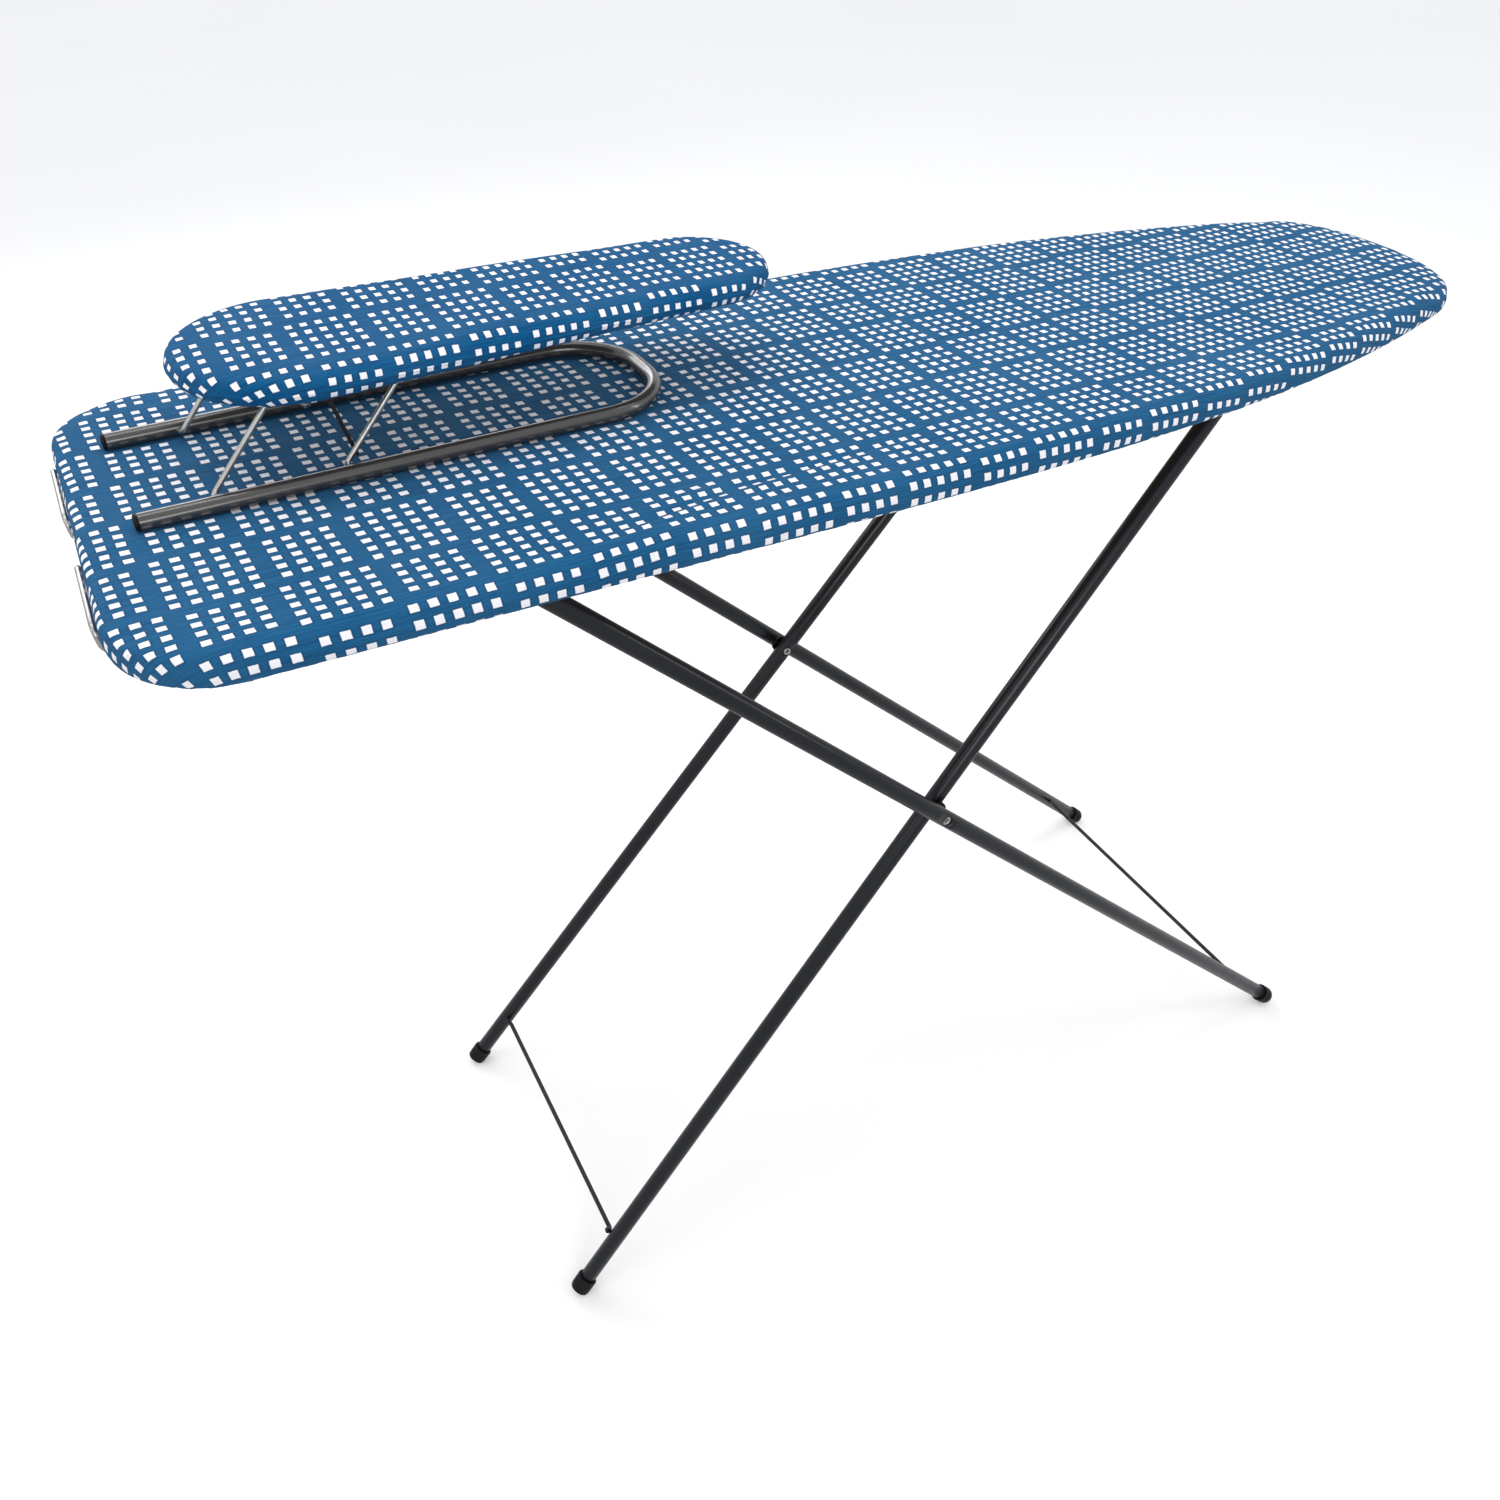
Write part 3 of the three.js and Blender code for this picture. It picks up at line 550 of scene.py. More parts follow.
# -------------------------- covers
def edge_profile(top, bottom, top_round, bottom_round, hem, belly=0.0008):
    """From the flat top, round the edge and under to the hem: (inset, z, cloth length past the outline).

    top_round is the radius of the top edge at each point of the outline.
    """
    zero = np.zeros_like(top_round)
    rows = []
    for k in range(7):
        a = math.pi / 2 * k / 6
        rows.append((top_round * (1 - math.sin(a)), top - top_round * (1 - math.cos(a))))
    side_top, side_low = top - top_round, bottom + bottom_round
    for k in range(1, 5):
        t = k / 5
        rows.append((zero - belly * math.sin(math.pi * t), side_top + (side_low - side_top) * t))
    for k in range(6):
        a = math.pi / 2 * k / 5
        rows.append((zero + bottom_round * (1 - math.cos(a)), zero + side_low - bottom_round * math.sin(a)))
    steps = 8
    for k in range(1, steps + 1):
        rows.append((zero + bottom_round + (hem - bottom_round) * k / steps, zero + bottom))
    out, length = [], -top_round
    for index, (inset, z) in enumerate(rows):
        if index:
            length = length + np.hypot(inset - rows[index - 1][0], z - rows[index - 1][1])
        out.append((inset, z, length))
    return out


def cover_mesh(name, outline, profile, spine, inner_rows, print_map, slack=1.0):
    """The cover as one sheet: a flat top filled in to the spine, then the rounded edge and the hem."""
    points, normals = outline
    count = len(points)
    vertices, flat = [], []
    first = profile[0]
    rim = points - normals * first[0][:, None]
    for row in range(inner_rows, 0, -1):
        share = row / inner_rows
        ring = rim + (spine - rim) * share
        vertices.append(np.c_[ring, first[1]])
        flat.append(ring)
    for inset, z, length in profile:
        vertices.append(np.c_[points - normals * inset[:, None], z])
        flat.append(points + normals * (length * np.where(length > 0, slack, 1.0))[:, None])
    rings = len(vertices)
    flat = np.concatenate(flat)
    faces = []
    for ring in range(rings - 1):
        low, high = ring * count, (ring + 1) * count
        for k in range(count):
            n = (k + 1) % count
            faces.append((low + k, high + k, high + n, low + n))
    shape = mesh_object(name, np.concatenate(vertices), faces)
    uv = shape.data.uv_layers.new(name="print")
    mapped = print_map(flat[:, 0], flat[:, 1])
    loops = np.empty(len(shape.data.loops), int)
    shape.data.loops.foreach_get("vertex_index", loops)
    uv.data.foreach_set("uv", mapped[loops].ravel())
    weld(shape, 2e-5)
    return outward(shape)


def board_print(x, y):
    """Print squares counted along and across the main board.

    The cloth lies slightly askew, gets tighter towards the nose, and is folded on itself along a crease.
    """
    along = (x - HEEL_X) / MM + 0.067 * (y / MM + 100)
    across = y / MM - 0.0155 * ((x - HEEL_X) / MM - 600)
    first, step, tighter = 67.9, 125.3, 1.48
    u = 10 * (step - np.sqrt(step ** 2 - 4 * tighter * (along - first))) / (2 * tighter) + CELL / 2
    line, reach = crease(x)
    across = across + CREASE_CLOTH * reach * np.tanh((y - line) / (4.5 * MM))
    v = np.where(across > -67, (170.5 - across) / 11.88, TALL_CELL_START + (-67 - across) / 11.3)
    v = np.where(across < -135, TALL_CELL_START + CELL + 1 + (-135 - across) / 10.6, v)
    v = np.where(across < -200.7, TALL_CELL_START + CELL + 7.2 + (-200.7 - across) / 12.4, v)
    return np.c_[u, v]


def sleeve_print(x, y):
    """The same print on the sleeve board, pulled a little tighter along it than across it."""
    low, high = sleeve_box("sleeve_board_cover")
    along = (x - low[0]) / MM - 207
    across = (y - (low[1] + high[1]) / 2) / MM - 1.5 - 0.025 * along
    u = along / 9.8 + 2.83e-5 * along ** 2 + 2.5
    v = (17 - across) / 14.2 + 5
    return np.c_[u + CELL, v]


# -------------------------- the main board
def ripple(x, y, z, seed):
    return noise.noise(Vector((x, y, z + seed)))


CLOTH_THICKNESS = 0.9 * MM
CREASE_CLOTH = 2.6          # half the cloth folded away by the crease, in mm


def crease(x):
    """Where the long crease by the near edge runs, and how deep it is there, from 0 to 1."""
    along = (x - HEEL_X) / MM
    line = (-170 + 0.115 * (along - 330) - 3 * np.sin(along / 38)) * MM
    reach = np.clip((along - 285) / 60, 0, 1) * np.clip((600 - along) / 130, 0, 1)
    return line, reach


def board_relief(x, y):
    """Height of the cover's top above its level plane: soft padding, long shallow creases, a deep one."""
    soft = 0.0005 * ripple(x * 9, y * 11, 0, 3.0) - 0.0003
    fold = 0.0004 * ripple(x * 4, y * 75, 0, 11.0) * (0.5 + ripple(x * 3, y * 4, 0, 17.0))
    line, reach = crease(x)
    away = (y - line) / 0.0042
    deep = 0.0015 * reach * math.cos(1.5 * away) * math.exp(-(away / 2.2) ** 2)
    side = 0.0007 * reach * math.cos(1.3 * away + 2.4) * math.exp(-((away - 3.2) / 1.8) ** 2)
    return soft + fold - deep + side


def positions(shape):
    co = np.empty(len(shape.data.vertices) * 3)
    shape.data.vertices.foreach_get("co", co)
    return co.reshape(-1, 3)


def set_positions(shape, co):
    shape.data.vertices.foreach_set("co", np.asarray(co).ravel())
    shape.data.update()


def swell(cover, hem_z, limit, pressure):
    """Cloth simulation: the cover, held along its hem, is puffed out by its padding, up to a limit."""
    start = positions(cover)
    held = cover.vertex_groups.new(name="hem")
    held.add([int(i) for i in np.nonzero(start[:, 2] < hem_z)[0]], 1.0, "REPLACE")
    cloth = cover.modifiers.new("padding", "CLOTH")
    cloth.settings.vertex_group_mass = "hem"
    cloth.settings.use_pressure = True
    cloth.settings.uniform_pressure_force = pressure
    cloth.settings.tension_stiffness = cloth.settings.compression_stiffness = 30
    cloth.settings.bending_stiffness = 2
    cloth.settings.effector_weights.gravity = 0
    cloth.collision_settings.use_collision = False
    for frame_number in range(1, 13):
        bpy.context.scene.frame_set(frame_number)
    apply_modifiers(cover)
    moved = positions(cover) - start
    reach = np.linalg.norm(moved, axis=1)[:, None]
    moved *= limit * np.tanh(reach / limit) / np.maximum(reach, 1e-9)
    set_positions(cover, start + moved)
    bpy.context.scene.frame_set(1)


def smoothed(shape, levels=1):
    modifier = shape.modifiers.new("smooth", "SUBSURF")
    modifier.levels = modifier.render_levels = levels
    modifier.boundary_smooth = "PRESERVE_CORNERS"
    return apply_modifiers(shape)


def pressed_under(co, centre_lines, radius, top, room):
    """Where a bar lies on the cover, the cover dips under it and swells a little beside it."""
    for a, b in centre_lines:
        line = b - a
        length = np.hypot(*line)
        along = np.clip(((co[:, :2] - a) @ line) / length ** 2, 0, 1)
        away = np.hypot(*(co[:, :2] - (a + along[:, None] * line)).T)
        share = np.exp(-(away / (radius * 1.5)) ** 2)
        upper = co[:, 2] > top - 0.006
        lowered = co[:, 2] * (1 - share) + np.minimum(co[:, 2], top - room) * share
        sunk = np.where(away < radius * 0.9, np.minimum(lowered, top - room), lowered)
        co[:, 2] = np.where(upper, sunk, co[:, 2])
    return co


def gathered(co, outline, bottom, amount, seed):
    """The hem under the board is drawn in by its cord into small uneven pleats."""
    points = outline[0]
    length = np.hypot(*(np.roll(points, -1, 0) - points).T).cumsum()
    pleat = np.sin(length / 0.0036 + 1.6 * np.sin(length / 0.029 + seed))
    height = amount * (0.6 + 0.4 * np.sin(length / 0.081 + seed * 2)) * (0.5 + 0.5 * pleat)
    under = np.nonzero(co[:, 2] < bottom + 0.0012)[0]
    for index in under:
        gaps = np.hypot(points[:, 0] - co[index, 0], points[:, 1] - co[index, 1])
        nearest = int(gaps.argmin())
        co[index, 2] -= height[nearest] * min(1.0, gaps[nearest] / 0.012)
    return co


def thickened(shape, thickness):
    modifier = shape.modifiers.new("cloth", "SOLIDIFY")
    modifier.thickness = thickness
    modifier.offset = -1
    modifier.use_rim = True
    return apply_modifiers(shape)


def hem_tape(name, outline, inset, z, radius, body):
    """The corded edge of the hem: a soft roll around the opening."""
    points, normals = outline
    ring = points - normals * inset
    path = [Vector((x, y, z + 0.0002 * math.sin(k * 1.9))) for k, (x, y) in enumerate(ring)]
    count, sides = len(path), 12
    vertices, faces = [], []
    for k, centre in enumerate(path):
        out = Vector((normals[k][0], normals[k][1], 0))
        crimp = radius * (1 + 0.12 * math.sin(k * 2.3))
        for side in range(sides):
            a = 2 * math.pi * side / sides
            vertices.append(centre + out * math.cos(a) * crimp + Vector((0, 0, math.sin(a) * crimp * 0.8)))
    for k in range(count):
        n = (k + 1) % count
        for side in range(sides):
            m = (side + 1) % sides
            faces.append((k * sides + side, n * sides + side, n * sides + m, k * sides + m))
    shape = outward(mesh_object(name, vertices, faces))
    return place(shape, body, BINDING, "board_cover_cloth" if body == "board" else "sleeve_cover_cloth")


SLEEVE_LOW, SLEEVE_HIGH = sleeve_box("sleeve_board_cover")
FRAME_LOW, FRAME_HIGH = sleeve_box("sleeve_frame_tube")
FRAME_RADIUS = (FRAME_HIGH[2] - FRAME_LOW[2]) / 2
FRAME_BEND = 58 * MM


def frame_corners(z):
    """The corners of the sleeve board's frame along the tube's centre line, in world places."""
    low, high = FRAME_LOW + FRAME_RADIUS, FRAME_HIGH - FRAME_RADIUS
    local = [(FRAME_LOW[0], low[1], z), (high[0], low[1], z),
             (high[0], high[1], z), (FRAME_LOW[0], high[1], z)]
    return [Vector(p) for p in from_sleeve(local)]


def main_board():
    count = 480
    outline = board_outline(count)
    points, normals = outline
    heel_facing = np.clip(-normals[:, 0], 0, 1)
    profile = edge_profile(BOARD_TOP, BOARD_BOTTOM, 0.010 - 0.0055 * heel_facing ** 2, 0.006, HEM_WIDTH)
    spine = np.c_[np.clip(points[:, 0], HEEL_X + HALF_WIDTH, HEEL_X + BOARD_LENGTH - 0.16), np.zeros(count)]
    cover = cover_mesh("board_cover_cloth", outline, profile, spine, 44, board_print)
    swell(cover, BOARD_BOTTOM + 0.003, 0.0012, 3.0)
    smoothed(cover)
    co = positions(cover)
    co[:, 0] = np.maximum(co[:, 0], HEEL_X - 0.0005)
    depth = np.clip((BOARD_TOP + 0.002 - co[:, 2]) / 0.012, 0, 1)
    relief = np.array([board_relief(x, y) for x, y, _ in co])
    co[:, 2] += relief * (1 - depth)
    path = [p.xy for p in bent_path(frame_corners(0), FRAME_BEND)]
    lines = [(np.array(a), np.array(b)) for a, b in zip(path, path[1:])]
    co = pressed_under(co, lines, FRAME_RADIUS, FRAME_LOW[2], 0.0002)
    set_positions(cover, gathered(co, outline, BOARD_BOTTOM, 0.0016, 1.0))
    thickened(cover, CLOTH_THICKNESS)
    place(cover, "board", COTTON, "board_cover_cloth", "board_cover", "board_pad")
    hem_tape("board_hem_cord", outline, HEM_WIDTH, BOARD_BOTTOM + 0.0005, 0.0021, "board")


def sleeve_relief(u, v):
    soft = 0.0006 * ripple(u * 14, v * 16, 0, 23.0)
    return soft + 0.0003 * ripple(u * 8, v * 70, 0, 29.0)


def sleeve_board():
    count = 300
    outline = sleeve_outline(count)
    points, _ = outline
    top, bottom = SLEEVE_HIGH[2], SLEEVE_LOW[2]
    profile = edge_profile(top, bottom, np.full(count, 0.0085), 0.006, SLEEVE_HEM)
    middle = (SLEEVE_LOW[1] + SLEEVE_HIGH[1]) / 2
    heel_centre = SLEEVE_LOW[0] + SLEEVE_HEEL_RADIUS
    nose_centre = SLEEVE_HIGH[0] - SLEEVE_NOSE_RADIUS
    spine = np.c_[np.clip(points[:, 0], heel_centre, nose_centre), np.full(count, middle)]
    cover = cover_mesh("sleeve_cover_cloth", outline, profile, spine, 20, sleeve_print, slack=1.55)
    swell(cover, bottom + 0.003, 0.0016, 3.0)
    smoothed(cover)
    co = positions(cover)
    depth = np.clip((top + 0.002 - co[:, 2]) / 0.010, 0, 1)
    co[:, 2] += np.array([sleeve_relief(u, v) for u, v, _ in co]) * (1 - depth)
    co = gathered(co, outline, bottom, 0.0013, 2.0)
    set_positions(cover, from_sleeve(co))
    thickened(cover, CLOTH_THICKNESS)
    place(cover, "sleeve_board", SLEEVE_COTTON, "sleeve_cover_cloth",
          "sleeve_board_cover", "sleeve_board_pad")
    ring = (from_sleeve(np.c_[points, np.zeros(count)])[:, :2],
            from_sleeve(np.c_[outline[1], np.zeros(count)])[:, :2])
    hem_tape("sleeve_hem_cord", ring, SLEEVE_HEM, bottom + 0.0006, 0.0012, "sleeve_board")


main_board()
sleeve_board()


# -------------------------- hardware
def tube_ends(name):
    """Centres of a straight tube's two end faces, the lower or nearer one first."""
    points = node_points(name)
    centre = points.mean(0)
    axis = np.linalg.svd(points - centre)[2][0]
    along = (points - centre) @ axis
    ends = [points[along < along.min() + 1e-4].mean(0), points[along > along.max() - 1e-4].mean(0)]
    ends.sort(key=lambda p: (round(p[2], 4), p[1]))
    return Vector(ends[0]), Vector(ends[1])


def hollow_tube(name, start, end, radius, wall, rings=()):
    length = (end - start).length
    edge = 0.35 * MM
    stops = sorted(d for d in rings if edge < d < length - edge)
    outer = [(radius - edge, 0), (radius - edge * 0.3, edge * 0.3), (radius, edge)]
    outer += [(radius, d) for d in stops]
    outer += [(radius, length - edge), (radius - edge * 0.3, length - edge * 0.3), (radius - edge, length)]
    bore = radius - wall
    inner = [(bore, length)] + [(bore, d) for d in reversed(stops)] + [(bore, 0)]
    profile = outer + inner
    return revolve(name, profile + profile[:1], start, end - start, sides=56)


def drilled(shape, start, end, radius):
    """A round hole through a shape, from start to end."""
    start, end = Vector(start), Vector(end)
    length = (end - start).length
    profile = [(0, 0), (radius, 0), (radius, length), (0, length)]
    drill = revolve("drill", profile, start, end - start, sides=32)
    cut = shape.modifiers.new("hole", "BOOLEAN")
    cut.operation = "DIFFERENCE"
    cut.solver = "EXACT"
    cut.object = drill
    apply_modifiers(shape)
    bpy.data.objects.remove(drill)
    return shape


TUBE_RADIUS = 8 * MM
TUBE_WALL = 1.2 * MM
BAR_RADIUS = 6 * MM
CROSSING = Vector(JOINTS["leg_crossing"]["pos_m"])
RIVET_HOLE = 4.7 * MM


def legs():
    for pair, bar in (("inner", "leg_hinge_bar"), ("outer", "height_bar")):
        body = f"{pair}_legs"
        for side in ("near", "far"):
            node = f"{pair}_leg_{side}"
            foot, top = tube_ends(node)
            direction = (top - foot).normalized()
            crossing_at = (CROSSING.z - foot.z) / direction.z
            shape = hollow_tube(f"{node}_tube", foot, top, TUBE_RADIUS, TUBE_WALL,
                                rings=[crossing_at - 14 * MM, crossing_at + 14 * MM])
            middle = foot + direction * crossing_at
            across = Vector((0, 1, 0)) * 20 * MM
            drilled(shape, middle - across, middle + across, RIVET_HOLE)
            place(shape, body, LEG_PAINT, "leg_paint", node)
            foot_cap(pair, side, foot, direction)
        start, end = tube_ends(bar)
        shape = hollow_tube(f"{bar}_tube", start, end, BAR_RADIUS, TUBE_WALL)
        place(shape, body, LEG_PAINT, "leg_paint", bar)
        stretcher(pair)


def foot_cap(pair, side, foot, direction):
    """A short moulded cap: a rim, a fine groove and a sole worn level with the floor."""
    mm = [(0, -9.5), (8.4, -9.5), (9.6, -8.9), (10.0, -7.6), (10.1, -5.0), (10.1, 2.4),
          (9.8, 2.8), (9.8, 3.4), (10.1, 3.8), (10.3, 4.4), (10.3, 6.0), (10.0, 6.7),
          (9.5, 7.0), (8.3, 7.0), (8.3, -0.3), (0, -0.3)]
    shape = revolve(f"{pair}_cap_{side}", [(r * MM, d * MM) for r, d in mm], foot, direction)
    build = bmesh.new()
    build.from_mesh(shape.data)
    cut = bmesh.ops.bisect_plane(build, geom=build.verts[:] + build.edges[:] + build.faces[:],
                                 plane_co=(0, 0, 0), plane_no=(0, 0, 1), clear_inner=True)
    rim = [e for e in cut["geom_cut"] if isinstance(e, bmesh.types.BMEdge)]
    bmesh.ops.edgeloop_fill(build, edges=rim)
    build.to_mesh(shape.data)
    build.free()
    outward(shape)
    sharpen(shape, 40)
    place(shape, f"{pair}_legs", BLACK_PLASTIC, "black_plastic", f"{pair}_foot_cap_{side}")


def sharpen(shape, degrees):
    """Smooth shading everywhere except over edges sharper than this."""
    build = bmesh.new()
    build.from_mesh(shape.data)
    for edge in build.edges:
        edge.smooth = len(edge.link_faces) == 2 and edge.calc_face_angle(0) < math.radians(degrees)
    for face in build.faces:
        face.smooth = True
    build.to_mesh(shape.data)
    build.free()
    return shape


STRETCHER_RADIUS = 2.25 * MM
STRETCHER_Z = 57 * MM
STRETCHER_TABS = {"outer": (18 * MM, 10), "inner": (7.5 * MM, 80)}


def stretcher(pair):
    ends = []
    length, degrees = STRETCHER_TABS[pair]
    turn = math.radians(degrees)
    for side, sign in (("near", -1), ("far", 1)):
        foot, top = tube_ends(f"{pair}_leg_{side}")
        direction = (top - foot).normalized()
        inward = Vector((0, -sign, 0))
        inward = (inward - direction * inward.dot(direction)).normalized()
        corner = foot + direction * ((STRETCHER_Z - foot.z) / direction.z)
        corner += inward * (TUBE_RADIUS + STRETCHER_RADIUS + 0.3 * MM)
        across = direction.cross(inward)
        across *= 1 if across.z > 0 else -1
        ends.append((corner + (direction * math.cos(turn) + across * math.sin(turn)) * length, corner))
    path = bent_path([ends[0][0], ends[0][1], ends[1][1], ends[1][0]], 5 * MM)
    shape = sweep(f"{pair}_stretcher", path, STRETCHER_RADIUS)
    place(shape, f"{pair}_legs", BLACK_WIRE, "black_wire", f"{pair}_stretcher_wire")
    for corner, (side, sign) in zip((ends[0], ends[1]), (("near", -1), ("far", 1))):
        weld_bead(f"{pair}_stretcher_weld_{side}", corner, sign, pair)


def weld_bead(name, tab, sign, pair):
    """A small lumpy fillet of weld metal, painted over, where the tab lies on the tube."""
    tip, corner = tab
    middle = corner.lerp(tip, 0.62)
    build = bmesh.new()
    bmesh.ops.create_icosphere(build, subdivisions=3, radius=1)
    along = (tip - corner).normalized()
    outward_y = Vector((0, sign, 0))
    outward_y = (outward_y - along * outward_y.dot(along)).normalized()
    other = along.cross(outward_y)
    for vertex in build.verts:
        x, y, z = vertex.co
        lump = 1 + 0.14 * ripple(x * 2, y * 2, z * 2, middle.x * 50)
        vertex.co = middle + (along * x * 4.0 + outward_y * y * 1.7 + other * z * 3.0) * lump * MM
        vertex.co += outward_y * 1.3 * MM
    shape = mesh_from(name, build)
    place(shape, f"{pair}_legs", LEG_PAINT, "leg_paint")


def mesh_from(name, build):
    mesh = bpy.data.meshes.new(name)
    build.to_mesh(mesh)
    build.free()
    shape = bpy.data.objects.new(name, mesh)
    bpy.context.collection.objects.link(shape)
    mesh.polygons.foreach_set("use_smooth", [True] * len(mesh.polygons))
    return shape


def crossing():
    for side, sign in (("near", -1), ("far", 1)):
        low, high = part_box(f"crossing_rivet_{side}")
        ends = (low.y, high.y) if sign > 0 else (high.y, low.y)
        length = abs(ends[1] - ends[0])
        r, bore, head, size = 3.4 * MM, 2.2 * MM, 1.6 * MM, 4.3 * MM
        profile = [(bore, 0.5 * MM), (bore + 0.5 * MM, 0), (size - 0.6 * MM, 0), (size - 0.15 * MM, 0.2 * MM),
                   (size, 0.7 * MM), (size, head), (r, head)]
        mirrored = [(radius, length - d) for radius, d in reversed(profile)]
        profile += mirrored + profile[:1]
        start = (CROSSING.x, ends[0], CROSSING.z)
        shape = revolve(f"rivet_{side}", profile, start, (0, sign, 0))
        sharpen(shape, 50)
        place(shape, body_of(f"crossing_rivet_{side}"), ZINC, "bright_zinc",
              f"crossing_rivet_{side}")
        low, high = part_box(f"crossing_spacer_{side}")
        thick = high.y - low.y
        profile = [(3.8 * MM, 0), (8.4 * MM, 0), (8.9 * MM, 0.3 * MM), (9 * MM, 0.9 * MM),
                   (9 * MM, thick - 0.9 * MM), (8.9 * MM, thick - 0.3 * MM),
                   (8.4 * MM, thick), (3.8 * MM, thick)]
        shape = revolve(f"spacer_{side}", profile + profile[:1], (CROSSING.x, low.y, CROSSING.z), (0, 1, 0))
        sharpen(shape, 50)
        place(shape, body_of(f"crossing_spacer_{side}"), BLACK_PLASTIC, "black_plastic",
              f"crossing_spacer_{side}")


def softened(node, material, slot, width=0.35 * MM):
    """A copy of a pressed metal part with its edges rounded."""
    source = frame["nodes"][node]
    shape = bpy.data.objects.new(f"{node}_pressing", source.data.copy())
    bpy.context.collection.objects.link(shape)
    weld(shape, 1e-6)
    bevel = shape.modifiers.new("edges", "BEVEL")
    bevel.width = width
    bevel.segments = 3
    bevel.limit_method = "ANGLE"
    bevel.angle_limit = math.radians(40)
    apply_modifiers(shape)
    sharpen(shape, 35)
    return place(shape, body_of(node), material, slot, node)


def screw(node):
    """A pan-head screw driven up from below, with a cross recess."""
    low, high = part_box(node)
    x, y = (low.x + high.x) / 2, (low.y + high.y) / 2
    mm = [(0, 0), (1.6, 0.05), (2.8, 0.3), (3.6, 0.9), (4.0, 1.7), (4.0, 2.2), (2, 2.2)]
    thread = []
    for turn in range(12):
        thread += [(2.0, 2.6 + turn * 0.75), (1.6, 2.95 + turn * 0.75)]
    profile = [(r * MM, d * MM) for r, d in mm + thread + [(1.2, 11.8), (0, high.z / MM - low.z / MM)]]
    shape = revolve(f"{node}_pan_head", profile, (x, y, low.z), (0, 0, 1), sides=32)
    for size in ((3.6, 0.8), (0.8, 3.6)):
        blade = bmesh.new()
        bmesh.ops.create_cube(blade, size=1)
        for vertex in blade.verts:
            deep = vertex.co.z > 0
            share = 0.45 if deep else 1.0
            vertex.co = Vector((x + vertex.co.x * size[0] * share * MM,
                                y + vertex.co.y * size[1] * share * MM,
                                low.z + (1.3 * MM if deep else -0.5 * MM)))
        tool = mesh_from("recess", blade)
        cut = shape.modifiers.new("recess", "BOOLEAN")
        cut.operation = "DIFFERENCE"
        cut.solver = "EXACT"
        cut.object = tool
        apply_modifiers(shape)
        bpy.data.objects.remove(tool)
    sharpen(shape, 40)
    place(shape, body_of(node), ZINC, "bright_zinc", node)


def bar_wires():
    """The wire that keeps the height bar in its rack, and the pull-out rest for a hot iron."""
    low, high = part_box("height_bar_keeper")
    r = (high.y - low.y) / 2
    corners = [(high.x - r, 0, high.z), (high.x - r, 0, low.z + r), (low.x, 0, low.z + r)]
    shape = sweep("height_keeper", bent_path(corners, 12 * MM), r)
    place(shape, "board", ZINC, "bright_zinc", "height_bar_keeper")

    low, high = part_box("iron_rest_wire")
    r = 2 * MM
    rod_z, lip_z, lip_x, outer, inner = low.z + r, high.z - r, low.x + r, high.y - r, 33 * MM
    foot_x = HEEL_X - 0.8 * MM
    half = [(HEEL_X + 460 * MM, outer, rod_z), (foot_x, outer, rod_z), (lip_x, outer, lip_z),
            (lip_x, inner, lip_z), (foot_x, inner, rod_z), (high.x - r, inner, rod_z)]
    corners = [(x, -y, z) for x, y, z in half] + half[::-1]
    shape = sweep("iron_rest_rod", bent_path(corners, 7 * MM), r)
    place(shape, "iron_rest", ZINC, "bright_zinc", "iron_rest_wire")


def sleeve_hardware():
    z = FRAME_LOW[2] + FRAME_RADIUS
    path = subdivided(bent_path(frame_corners(z), FRAME_BEND, steps=24), 12 * MM)
    shape = sweep("sleeve_frame_bar", path, FRAME_RADIUS, sides=48, rounding=0.08)
    place(shape, "sleeve_frame", FRAME_PAINT, "frame_paint", "sleeve_frame_tube")
    for side in ("near", "far"):
        node = f"sleeve_frame_plug_{side}"
        low, high = sleeve_box(node)
        v = (low[1] + high[1]) / 2
        length = high[0] - low[0]
        R = FRAME_RADIUS
        profile = [(0, 0), (R * 0.45, 0.1 * MM), (R * 0.8, 0.5 * MM), (R * 0.96, 1.2 * MM), (R, 2.0 * MM),
                   (R, 2.9 * MM), (R - 1.5 * MM, 3.0 * MM), (R - 1.5 * MM, length), (0, length)]
        start = Vector(from_sleeve([(low[0], v, z)])[0])
        ahead = Vector(from_sleeve([(1, 0, 0)])[0])
        shape = revolve(f"frame_end_plug_{side}", profile, start, ahead)
        place(shape, "sleeve_frame", BLACK_PLASTIC, "black_plastic", node)

    for name in ("heel", "nose"):
        node = f"sleeve_link_{name}"
        low, high = sleeve_box(node)
        r = 2 * MM
        centre = (low[1] + high[1]) / 2
        pin, straight, top = high[1] - centre, 53.7 * MM, high[2] - r
        half = [(low[0] + r, pin, z), (low[0] + r, straight, z), (high[0] - r, straight, top)]
        local = [(u, centre - v, h) for u, v, h in half] + [(u, centre + v, h) for u, v, h in half[::-1]]
        path = bent_path(from_sleeve(local), 5.5 * MM, steps=14)
        shape = sweep(f"sleeve_link_{name}_wire", path, r)
        place(shape, f"{name}_link", ZINC, "bright_zinc", node)

    low, high = sleeve_box("sleeve_brace_wire")
    r = 1.5 * MM
    centre = (low[1] + high[1]) / 2
    foot_u, top_u, w, top = high[0] - r, low[0] + r, high[1] - r - centre, high[2] - r
    half = [(foot_u, w, low[2] + 0.2 * MM), (top_u, w, top)]
    local = [(u, centre - v, h) for u, v, h in half] + [(u, centre + v, h) for u, v, h in half[::-1]]
    shape = sweep("sleeve_brace_rod", bent_path(from_sleeve(local), 6 * MM), r)
    place(shape, "sleeve_brace", BLACK_WIRE, "black_wire", "sleeve_brace_wire")


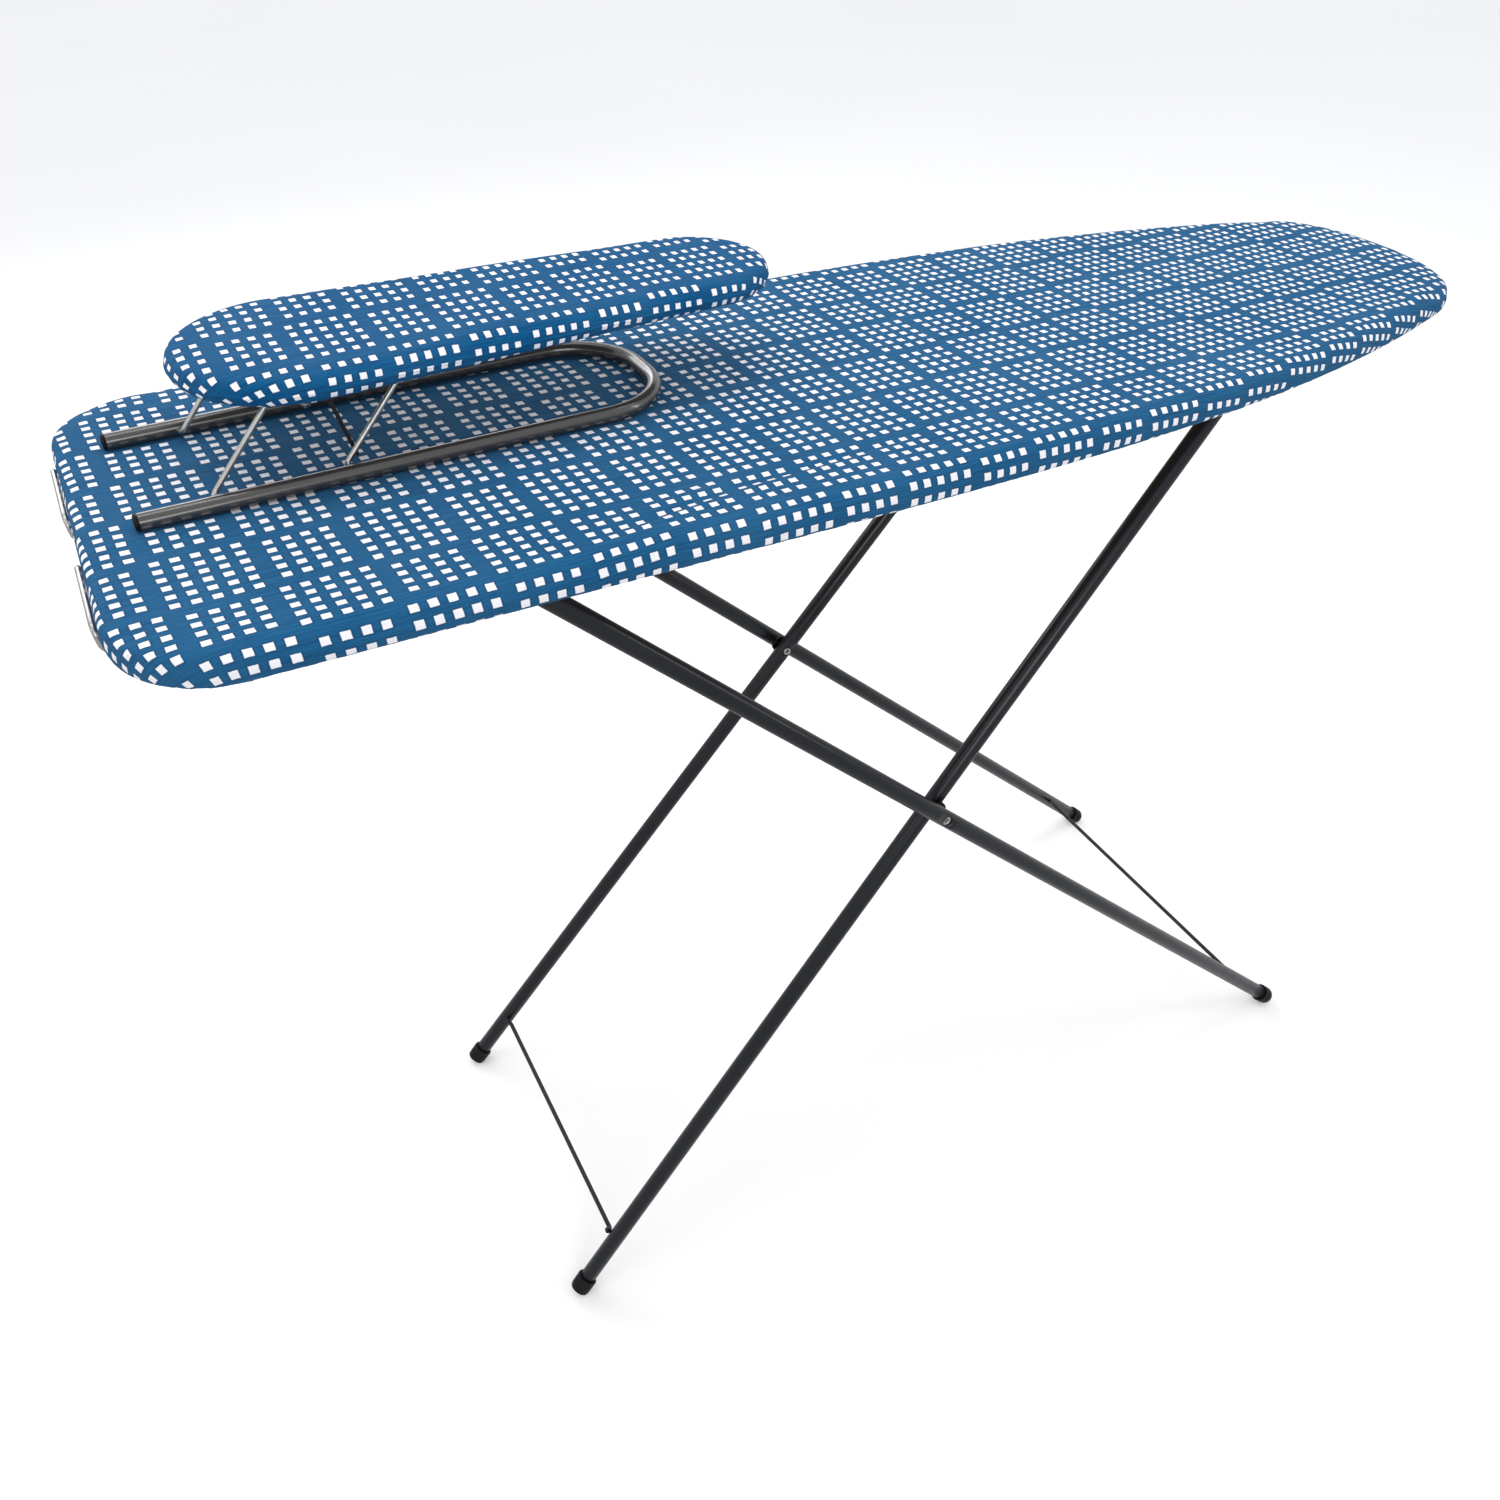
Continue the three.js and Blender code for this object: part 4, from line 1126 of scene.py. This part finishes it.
def plain_nodes():
    """Pressed metal parts get rounded edges; hidden cores keep their CAD mesh and get a material."""
    for node in sorted(frame["nodes"]):
        if "screw" in node:
            screw(node)
        elif any(word in node for word in ("bracket", "guide", "saddle", "clip")) or node == "height_rack":
            softened(node, ZINC, "bright_zinc")
    for node in ("board_core", "sleeve_board_core"):
        source = frame["nodes"][node]
        source.data.materials.clear()
        source.data.materials.append(CHIPBOARD)


legs()
crossing()
bar_wires()
sleeve_hardware()
plain_nodes()


# -------------------------- camera, floor and light
def studio():
    scene = bpy.context.scene
    yaw, pitch, roll = 0.472, 0.6722, -0.002
    forward = Vector((math.sin(yaw) * math.cos(pitch), math.cos(yaw) * math.cos(pitch), -math.sin(pitch)))
    right = Vector((math.cos(yaw), -math.sin(yaw), 0))
    up = right.cross(forward)
    tilted_right = right * math.cos(roll) + up * math.sin(roll)
    tilted_up = up * math.cos(roll) - right * math.sin(roll)
    camera_data = bpy.data.cameras.new("camera")
    camera_data.sensor_width = 36
    camera_data.lens = 33.06
    camera_data.clip_end = 60
    camera = bpy.data.objects.new("camera", camera_data)
    scene.collection.objects.link(camera)
    basis = Matrix((tilted_right, tilted_up, -forward)).transposed().to_4x4()
    camera.matrix_world = Matrix.Translation((HEEL_X + 0.03383, -0.91927, 1.30579)) @ basis
    scene.camera = camera

    floor = mesh_object("floor", [(-20, -20, 0), (20, -20, 0), (20, 20, 0), (-20, 20, 0)], [(0, 1, 2, 3)])
    n = Nodes("floor_white")
    patches = n.ramp(n.noise(n.place(), 0.7, 2.0), 0.3, 0.7)
    shade = n.mix(patches, (0.86, 0.86, 0.86, 1), (0.88, 0.88, 0.88, 1))
    floor.data.materials.append(n.finish(shade, 0.9, Emission_Color=(1, 1, 1, 1), Emission_Strength=0.14))
    floor.visible_diffuse = False
    floor.visible_glossy = False

    world = bpy.data.worlds.new("studio")
    world.use_nodes = True
    tree = world.node_tree
    place = tree.nodes.new("ShaderNodeTexCoord")
    parts = tree.nodes.new("ShaderNodeSeparateXYZ")
    height = tree.nodes.new("ShaderNodeMapRange")
    tree.links.new(place.outputs["Generated"], parts.inputs[0])
    tree.links.new(parts.outputs["Z"], height.inputs[0])
    for index, value in enumerate((-0.05, 0.95, 0.72, 0.92)):
        height.inputs[index + 1].default_value = value
    background = tree.nodes["Background"]
    background.inputs[0].default_value = (0.97, 0.98, 1.0, 1)
    tree.links.new(height.outputs[0], background.inputs[1])
    scene.world = world

    def lamp(name, place, target, size, power):
        data = bpy.data.lights.new(name, "AREA")
        data.shape = "RECTANGLE"
        data.size, data.size_y = size
        data.energy = power
        light = bpy.data.objects.new(name, data)
        scene.collection.objects.link(light)
        light.location = place
        light.rotation_euler = (Vector(target) - Vector(place)).to_track_quat("-Z", "Y").to_euler()

    lamp("overhead", (0.0, 0.7, 3.4), (0, 0, 0.8), (3.2, 0.9), 13)
    lamp("strip", (0.0, 0.1, 3.2), (0, 0, 0.8), (3.6, 0.08), 13)
    lamp("front_fill", (-1.0, -2.8, 1.7), (-0.3, 0, 0.85), (1.8, 0.9), 21)
    lamp("back_fill", (-0.5, 2.7, 2.1), (-0.3, 0, 0.85), (2.4, 0.9), 26)
    lamp("left_key", (-2.6, -0.6, 2.4), (0, 0, 0.8), (1.4, 1.4), 7)
    lamp("right_rim", (2.8, -1.6, 2.0), (0, 0, 0.6), (0.18, 2.2), 12)
    scene.view_settings.view_transform = "Standard"


studio()
